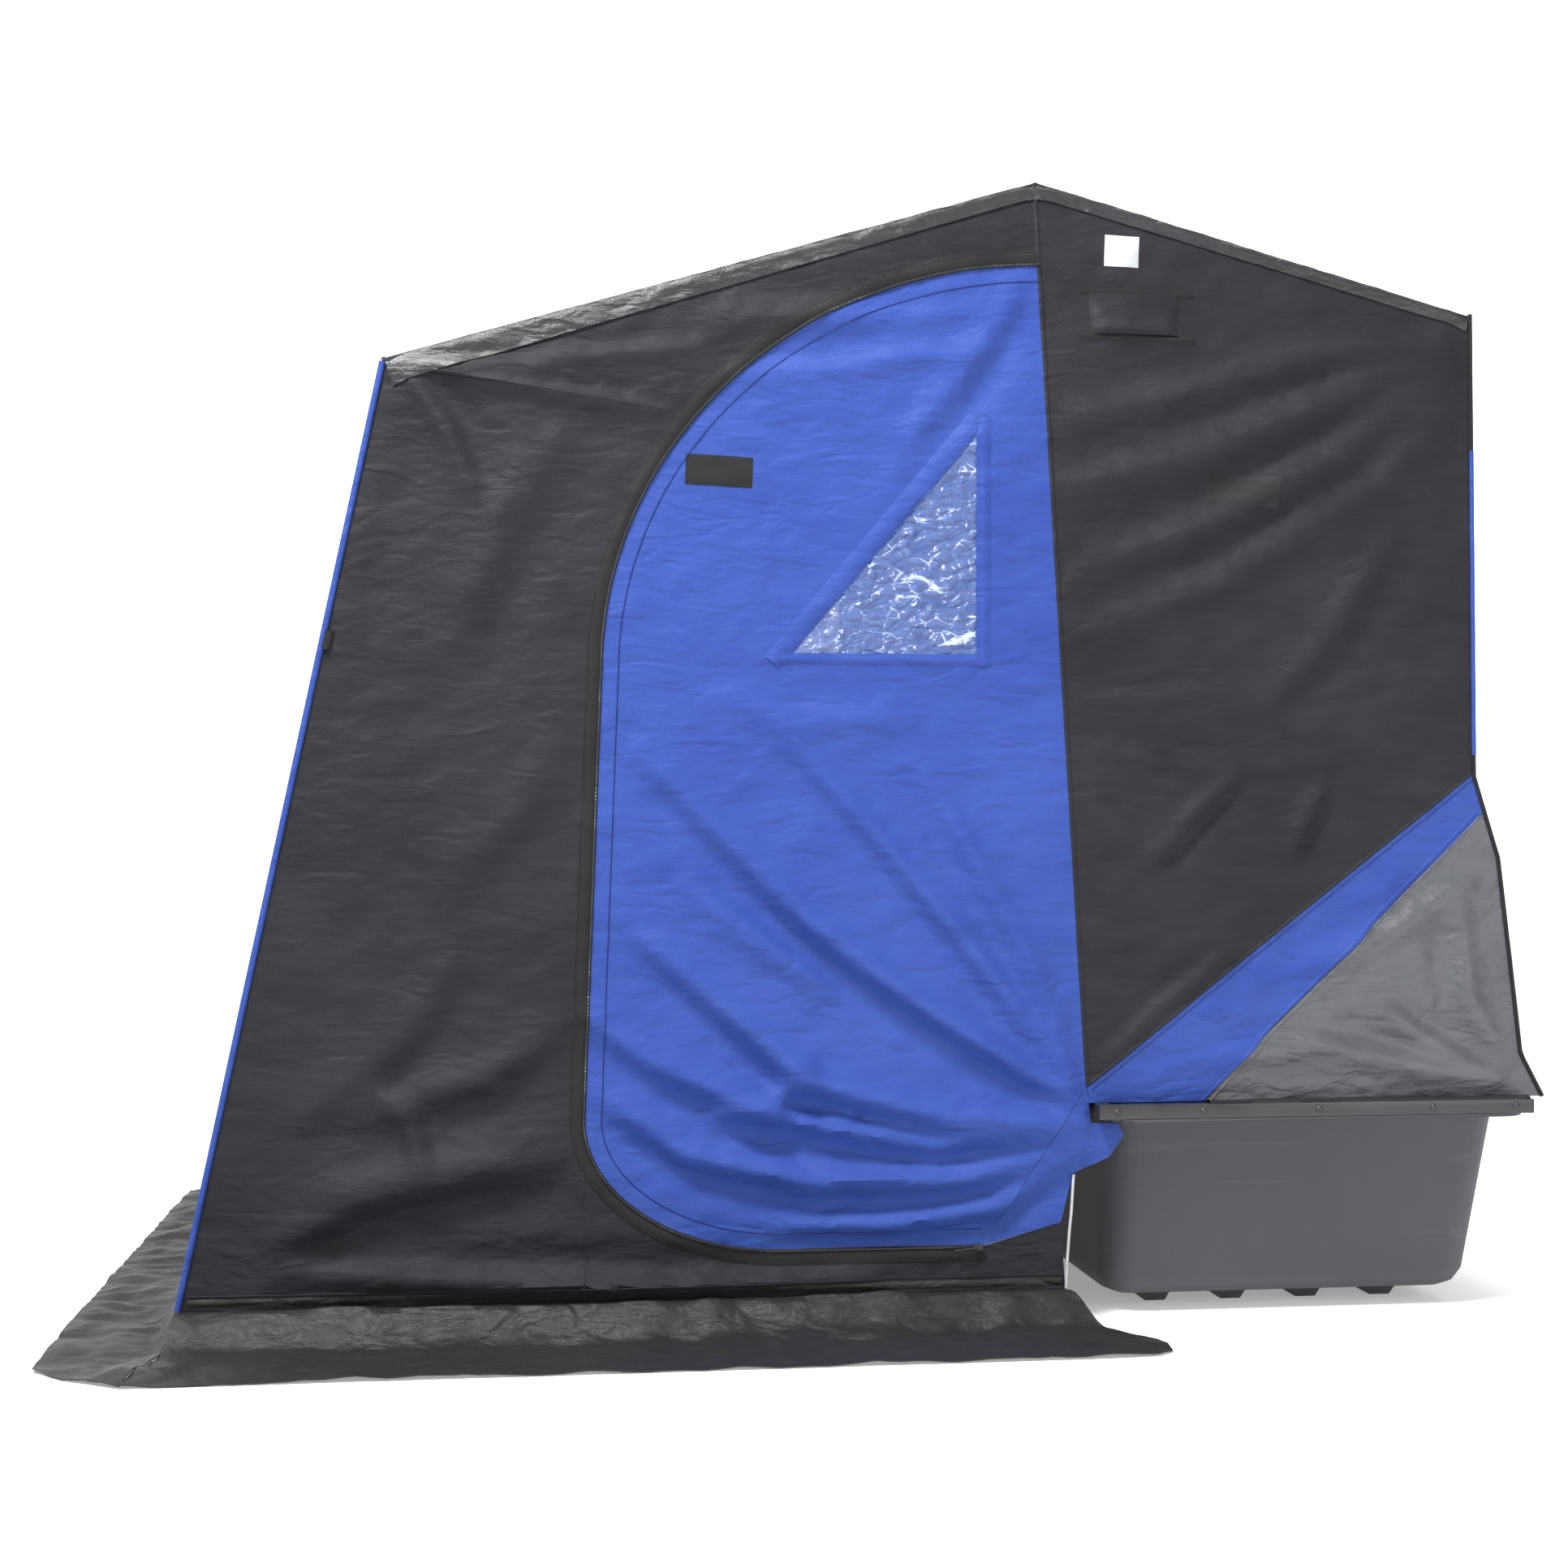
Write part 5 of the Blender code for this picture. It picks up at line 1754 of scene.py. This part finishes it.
@dataclass
class Poles:
    """The telescoping bows with the buttons that lock them."""

    finishes: Finishes
    leans: dict[str, tuple[float, float]] = field(
        default_factory=lambda: {
            "rear": (63.9, 0.659),
            "mid": (94.2, 0.689),
            "front": (135.0, 0.719),
            "ground": (193.1, 0.749),
        }
    )
    button_at: float = 0.805
    half_tube: float = 0.014

    def build(self) -> None:
        """Make the poles."""
        for bow, (lean, level) in self.leans.items():
            for side in Side:
                eased(f"{bow}_tube_{side.label}", self.finishes.tube, f"{bow}_tubes", 0.002)
                self.button(bow, lean, level, side)
            eased(f"{bow}_bow", self.finishes.tube, f"{bow}_bow", 0.0018)

    def button(self, bow: str, lean: float, level: float, side: Side) -> None:
        """The spring button in an outer tube, facing the middle of the shelter.

        Args:
            bow: the bow's name.
            lean: the arm's turn about the pivot, in degrees.
            level: from the middle plane to the arm's middle.
            side: the arm's side.
        """
        mesh = bmesh.new()
        bmesh.ops.create_uvsphere(mesh, u_segments=20, v_segments=12, radius=0.0042)
        bmesh.ops.scale(mesh, verts=mesh.verts, vec=(1, 0.75, 1))
        turn = radians(lean)
        x, z = PIVOT[0] + self.button_at * cos(turn), PIVOT[2] + self.button_at * sin(turn)
        bmesh.ops.translate(mesh, verts=mesh.verts, vec=(x, side.value * (level - self.half_tube), z))
        placed(f"{bow}_button_{side.label}", mesh, self.finishes.tube, Carry(f"{bow}_tubes"))


def smoothed(mesh: bmesh.types.BMesh, factor: float) -> None:
    """Smooth a mesh along every axis."""
    axes = {"use_axis_x": True, "use_axis_y": True, "use_axis_z": True}
    bmesh.ops.smooth_vert(mesh, verts=mesh.verts, factor=factor, **axes)


@dataclass(frozen=True)
class Cushion:
    """A stuffed cushion: its shape before stuffing, and how the stuffing swells it."""

    size: Colour
    margin: float = 0.009
    net: float = 0.0055
    frames: int = 20
    pressure: float = 4.0
    cap: float = 0.024

    def shape(self) -> tuple[np.ndarray, list[tuple[int, ...]]]:
        """The stuffed shape round the origin, as points and faces.

        Returns:
            The points, and each face's corners.
        """
        start = bmesh.new()
        bmesh.ops.create_cube(start, size=1)
        inner = [side - 2 * self.margin for side in self.size]
        bmesh.ops.scale(start, verts=start.verts, vec=inner)
        bmesh.ops.bevel(
            start,
            geom=start.edges,
            offset=min(inner) * 0.3,
            affect="EDGES",
            segments=4,
            profile=0.5,
            material=-1,
        )
        data = bpy.data.meshes.new("cushion")
        start.to_mesh(data)
        start.free()
        body = bpy.data.objects.new("cushion", data)
        bpy.context.scene.collection.objects.link(body)
        remesh = body.modifiers.new("net", "REMESH")
        remesh.mode = "VOXEL"
        remesh.voxel_size = self.net
        self._apply(body)
        rest = np.array([vert.co for vert in body.data.vertices])
        cloth = body.modifiers.new("cloth", "CLOTH")
        cloth.settings.use_pressure = True
        cloth.settings.uniform_pressure_force = self.pressure
        cloth.settings.effector_weights.gravity = 0
        cloth.settings.tension_stiffness = cloth.settings.compression_stiffness = 12
        cloth.settings.bending_stiffness = 0.6
        cloth.settings.quality = 6
        cloth.point_cache.frame_start, cloth.point_cache.frame_end = 1, self.frames
        for number in range(1, self.frames + 1):
            bpy.context.scene.frame_set(number)
        self._apply(body)
        bpy.context.scene.frame_set(1)
        made = bmesh.new()
        made.from_mesh(body.data)
        bpy.data.objects.remove(body)
        moved = np.array([vert.co for vert in made.verts]) - rest
        long = np.linalg.norm(moved, axis=1)
        share = np.minimum(1, self.cap / np.maximum(long, 1e-9))
        remap(made, lambda points: rest + moved * share[:, None])
        smoothed(made, 0.3)
        bmesh.ops.subdivide_edges(made, edges=made.edges, cuts=1, use_grid_fill=True)
        smoothed(made, 0.4)
        return self._read(made)

    def _apply(self, body: bpy.types.Object) -> None:
        """Turn the modifiers' result into the object's own mesh.

        Args:
            body: the object.
        """
        graph = bpy.context.evaluated_depsgraph_get()
        data = bpy.data.meshes.new_from_object(body.evaluated_get(graph))
        body.modifiers.clear()
        body.data = data

    def _read(self, mesh: bmesh.types.BMesh) -> tuple[np.ndarray, list[tuple[int, ...]]]:
        """A mesh's points, fitted to the cushion's size, and its faces.

        Args:
            mesh: the mesh, which is freed.

        Returns:
            The points, and each face's corners.
        """
        mesh.verts.ensure_lookup_table()
        mesh.verts.index_update()
        points = np.array([vert.co for vert in mesh.verts])
        faces = [tuple(vert.index for vert in face.verts) for face in mesh.faces]
        mesh.free()
        low, high = points.min(axis=0), points.max(axis=0)
        scale = (np.array(self.size) - 0.0004) / (high - low)
        return (points - (low + high) / 2) * scale, faces


def from_parts(
    points: np.ndarray, faces: list[tuple[int, ...]], shift: Sequence[float]
) -> bmesh.types.BMesh:
    """A mesh from points and faces, moved.

    Args:
        points: the points.
        faces: each face's corners.
        shift: how far the mesh is moved.

    Returns:
        The mesh.
    """
    made = bmesh.new()
    verts = [made.verts.new(point) for point in points + np.array(shift)]
    for face in faces:
        made.faces.new([verts[index] for index in face])
    bmesh.ops.recalc_face_normals(made, faces=made.faces)
    return made


def skin_ring(mesh: bmesh.types.BMesh, centre: Sequence[float], axis: int, count: int = 96) -> list[Vector]:
    """A closed line on a cushion's rim, square to an axis.

    Args:
        mesh: the cushion.
        centre: its middle.
        axis: the axis, from 0 to 2.
        count: how many points the line has.

    Returns:
        The line's points.
    """
    tree = BVHTree.FromBMesh(mesh)
    first, second = [k for k in range(3) if k != axis]
    ring = []
    for index in range(count):
        turn = 2 * pi * index / count
        way = Vector((0, 0, 0))
        way[first], way[second] = cos(turn), sin(turn)
        found = tree.ray_cast(Vector(centre) + way * 0.6, -way)[0]
        ring.append(found - way * 0.0006)
    return ring


@dataclass
class Seats:
    """The two folding seats, which slide and turn on their rails."""

    finishes: Finishes
    pad: Cushion = Cushion((0.36, 0.36, 0.07))
    back: Cushion = Cushion((0.05, 0.312, 0.30), net=0.005)
    pad_centre: Colour = (0.8536, 0.30, 0.4444)
    back_centre: Colour = (1.0646, 0.30, 0.6454)

    def build(self) -> None:
        """Make both seats."""
        shapes = {"pad": self.pad.shape(), "back": self.back.shape()}
        for side in Side:
            label = side.label
            eased(f"seat_carriage_{label}", self.finishes.tube, f"seat_{label}_carriage", 0.001)
            eased(f"seat_pan_{label}", self.finishes.steel, f"seat_{label}", 0.001)
            for part, centre, body, axis in (
                ("pad", self.pad_centre, f"seat_{label}", 2),
                ("back", self.back_centre, f"seat_{label}_back", 0),
            ):
                spot = (centre[0], side.value * centre[1], centre[2])
                mesh = from_parts(*shapes[part], spot)
                ring = skin_ring(mesh, spot, axis)
                name, nodes = f"seat_{part}_cushion_{label}", [f"seat_{part}_{label}"]
                piece = placed(name, mesh, self.finishes.seat, Carry(body), nodes)
                welt = tube(ring, 0.0028, closed=True)
                placed(f"seat_{part}_welt_{label}", welt, self.finishes.blue, Carry(body), sharp=180)


@dataclass(frozen=True)
class HemCord:
    """The white twisted cord on the hem's rear edge."""

    look: Look
    side: Side
    line: tuple[Point, ...] = (
        (0.4375, 0.262),
        (0.433, 0.21),
        (0.428, 0.16),
        (0.424, 0.11),
        (0.4215, 0.067),
    )
    diameter: float = 0.005
    lay: float = 0.018

    def build(self) -> None:
        """Make the cord."""
        centres = spaced(self.line, 0.0022)
        wall = SideWall(self.side).stand_off(centres[:, 0], centres[:, 1])
        path = np.stack([centres[:, 0], self.side.value * (WALL + wall + 0.003), centres[:, 1]], axis=1)
        heading = np.gradient(path, axis=0)
        heading /= np.linalg.norm(heading, axis=1)[:, None]
        outward = np.cross(heading, np.cross(np.array([0.0, self.side.value, 0.0]), heading))
        outward /= np.linalg.norm(outward, axis=1)[:, None]
        sideways = np.cross(heading, outward)
        count, around = len(path) - 1, 24
        made = grid(count, around)
        length = float(np.linalg.norm(np.diff(path, axis=0), axis=1).sum())

        def move(points: np.ndarray) -> np.ndarray:
            """Put each point of the flat net in its place.

            Args:
                points: the flat net's points.

            Returns:
                The points in their new places.
            """
            index = np.clip(np.rint(points[:, 0] * count).astype(int), 0, count)
            turn = 2 * pi * points[:, 1]
            twist = 2 * pi * points[:, 0] * length / self.lay
            radius = self.diameter / 2 * (0.90 + 0.12 * np.abs(np.cos(1.5 * (turn - twist))))
            return path[index] + radius[:, None] * (
                np.cos(turn)[:, None] * outward[index] + np.sin(turn)[:, None] * sideways[index]
            )

        remap(made, move)
        bmesh.ops.remove_doubles(made, verts=made.verts, dist=1e-6)
        bmesh.ops.holes_fill(made, edges=[edge for edge in made.edges if edge.is_boundary])
        bmesh.ops.recalc_face_normals(made, faces=made.faces)
        cord = placed(f"hem_cord_{self.side.label}", made, self.look, on_arm("mid_tubes", 0.5))


# ---------------------------------------------------------------- set and light


@dataclass(frozen=True)
class Lamp:
    """A soft square lamp aimed at a point."""

    name: str
    spot: Colour
    aim: Colour
    size: float
    power: float

    def build(self) -> None:
        """Hang the lamp."""
        data = bpy.data.lights.new(self.name, "AREA")
        data.size = self.size
        data.energy = self.power
        lamp = bpy.data.objects.new(self.name, data)
        lamp.location = self.spot
        lamp.rotation_euler = (Vector(self.aim) - Vector(self.spot)).to_track_quat("-Z", "Y").to_euler()
        bpy.context.scene.collection.objects.link(lamp)


@dataclass
class Studio:
    """A plain pale floor, soft lamps and the camera."""

    eye: Colour = (-0.56, -4.53, 0.84)
    look: Colour = (0.1285, 0.9913, 0.0274)
    lens: float = 50.3
    floor: float = 14.0

    def build(self) -> None:
        """Set everything up."""
        mesh = bmesh.new()
        bmesh.ops.create_grid(mesh, x_segments=4, y_segments=4, size=self.floor)
        data = bpy.data.meshes.new("floor")
        mesh.to_mesh(data)
        mesh.free()
        paper = {"Base Color": (0.86, 0.87, 0.88, 1), "Roughness": 0.9, "Emission Color": (1, 1, 1, 1)}
        data.materials.append(Recipe("floor_paper").surface(paper | {"Emission Strength": 0.3}))
        back = data.copy()
        back.materials.clear()
        back.materials.append(Recipe("back_paper").surface(paper | {"Emission Strength": 0.9}))
        floor = bpy.data.objects.new("floor", data)
        wall = bpy.data.objects.new("backdrop", back)
        wall.location, wall.rotation_euler = (0, self.floor, self.floor - 2), (pi / 2, 0, 0)
        for piece in (floor, wall):
            bpy.context.scene.collection.objects.link(piece)
        self.light()
        self.aim()

    def light(self) -> None:
        """Hang the lamps and light the surroundings."""
        world = bpy.data.worlds.new("studio")
        bpy.context.scene.world = world
        world.use_nodes = True
        background = world.node_tree.nodes["Background"]
        background.inputs[0].default_value = (0.95, 0.97, 1.0, 1)
        background.inputs[1].default_value = 0.5
        bpy.context.scene.view_settings.view_transform = "Standard"
        for lamp in (
            Lamp("key", (-1.9, -2.9, 5.0), (0.1, -0.6, 0.8), 1.1, 520),
            Lamp("top", (0.6, 0.4, 5.2), (0.1, 0, 1.0), 2.6, 150),
            Lamp("fill", (3.4, -5.0, 1.8), (0.3, -0.5, 0.8), 2.4, 90),
            Lamp("back", (1.5, 5.0, 3.2), (0, 0, 1.0), 3.0, 100),
        ):
            lamp.build()

    def aim(self) -> None:
        """Place the camera."""
        data = bpy.data.cameras.new("camera")
        data.lens = self.lens
        camera = bpy.data.objects.new("camera", data)
        camera.location = self.eye
        camera.rotation_euler = Vector(self.look).to_track_quat("-Z", "Y").to_euler()
        bpy.context.scene.collection.objects.link(camera)
        bpy.context.scene.camera = camera


def main() -> None:
    """Build the shelter's looks over its frame."""
    logging.basicConfig(level=logging.INFO, format="%(name)s %(message)s")
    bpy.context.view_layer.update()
    finishes = Finishes()
    Sled(finishes).build()
    Poles(finishes).build()
    Seats(finishes).build()
    for side in Side:
        SideCanopy(side, finishes).build()
        HemCord(finishes.white, side).build()
    Canopy(finishes).build()
    Studio().build()


if __name__ == "__main__":
    main()
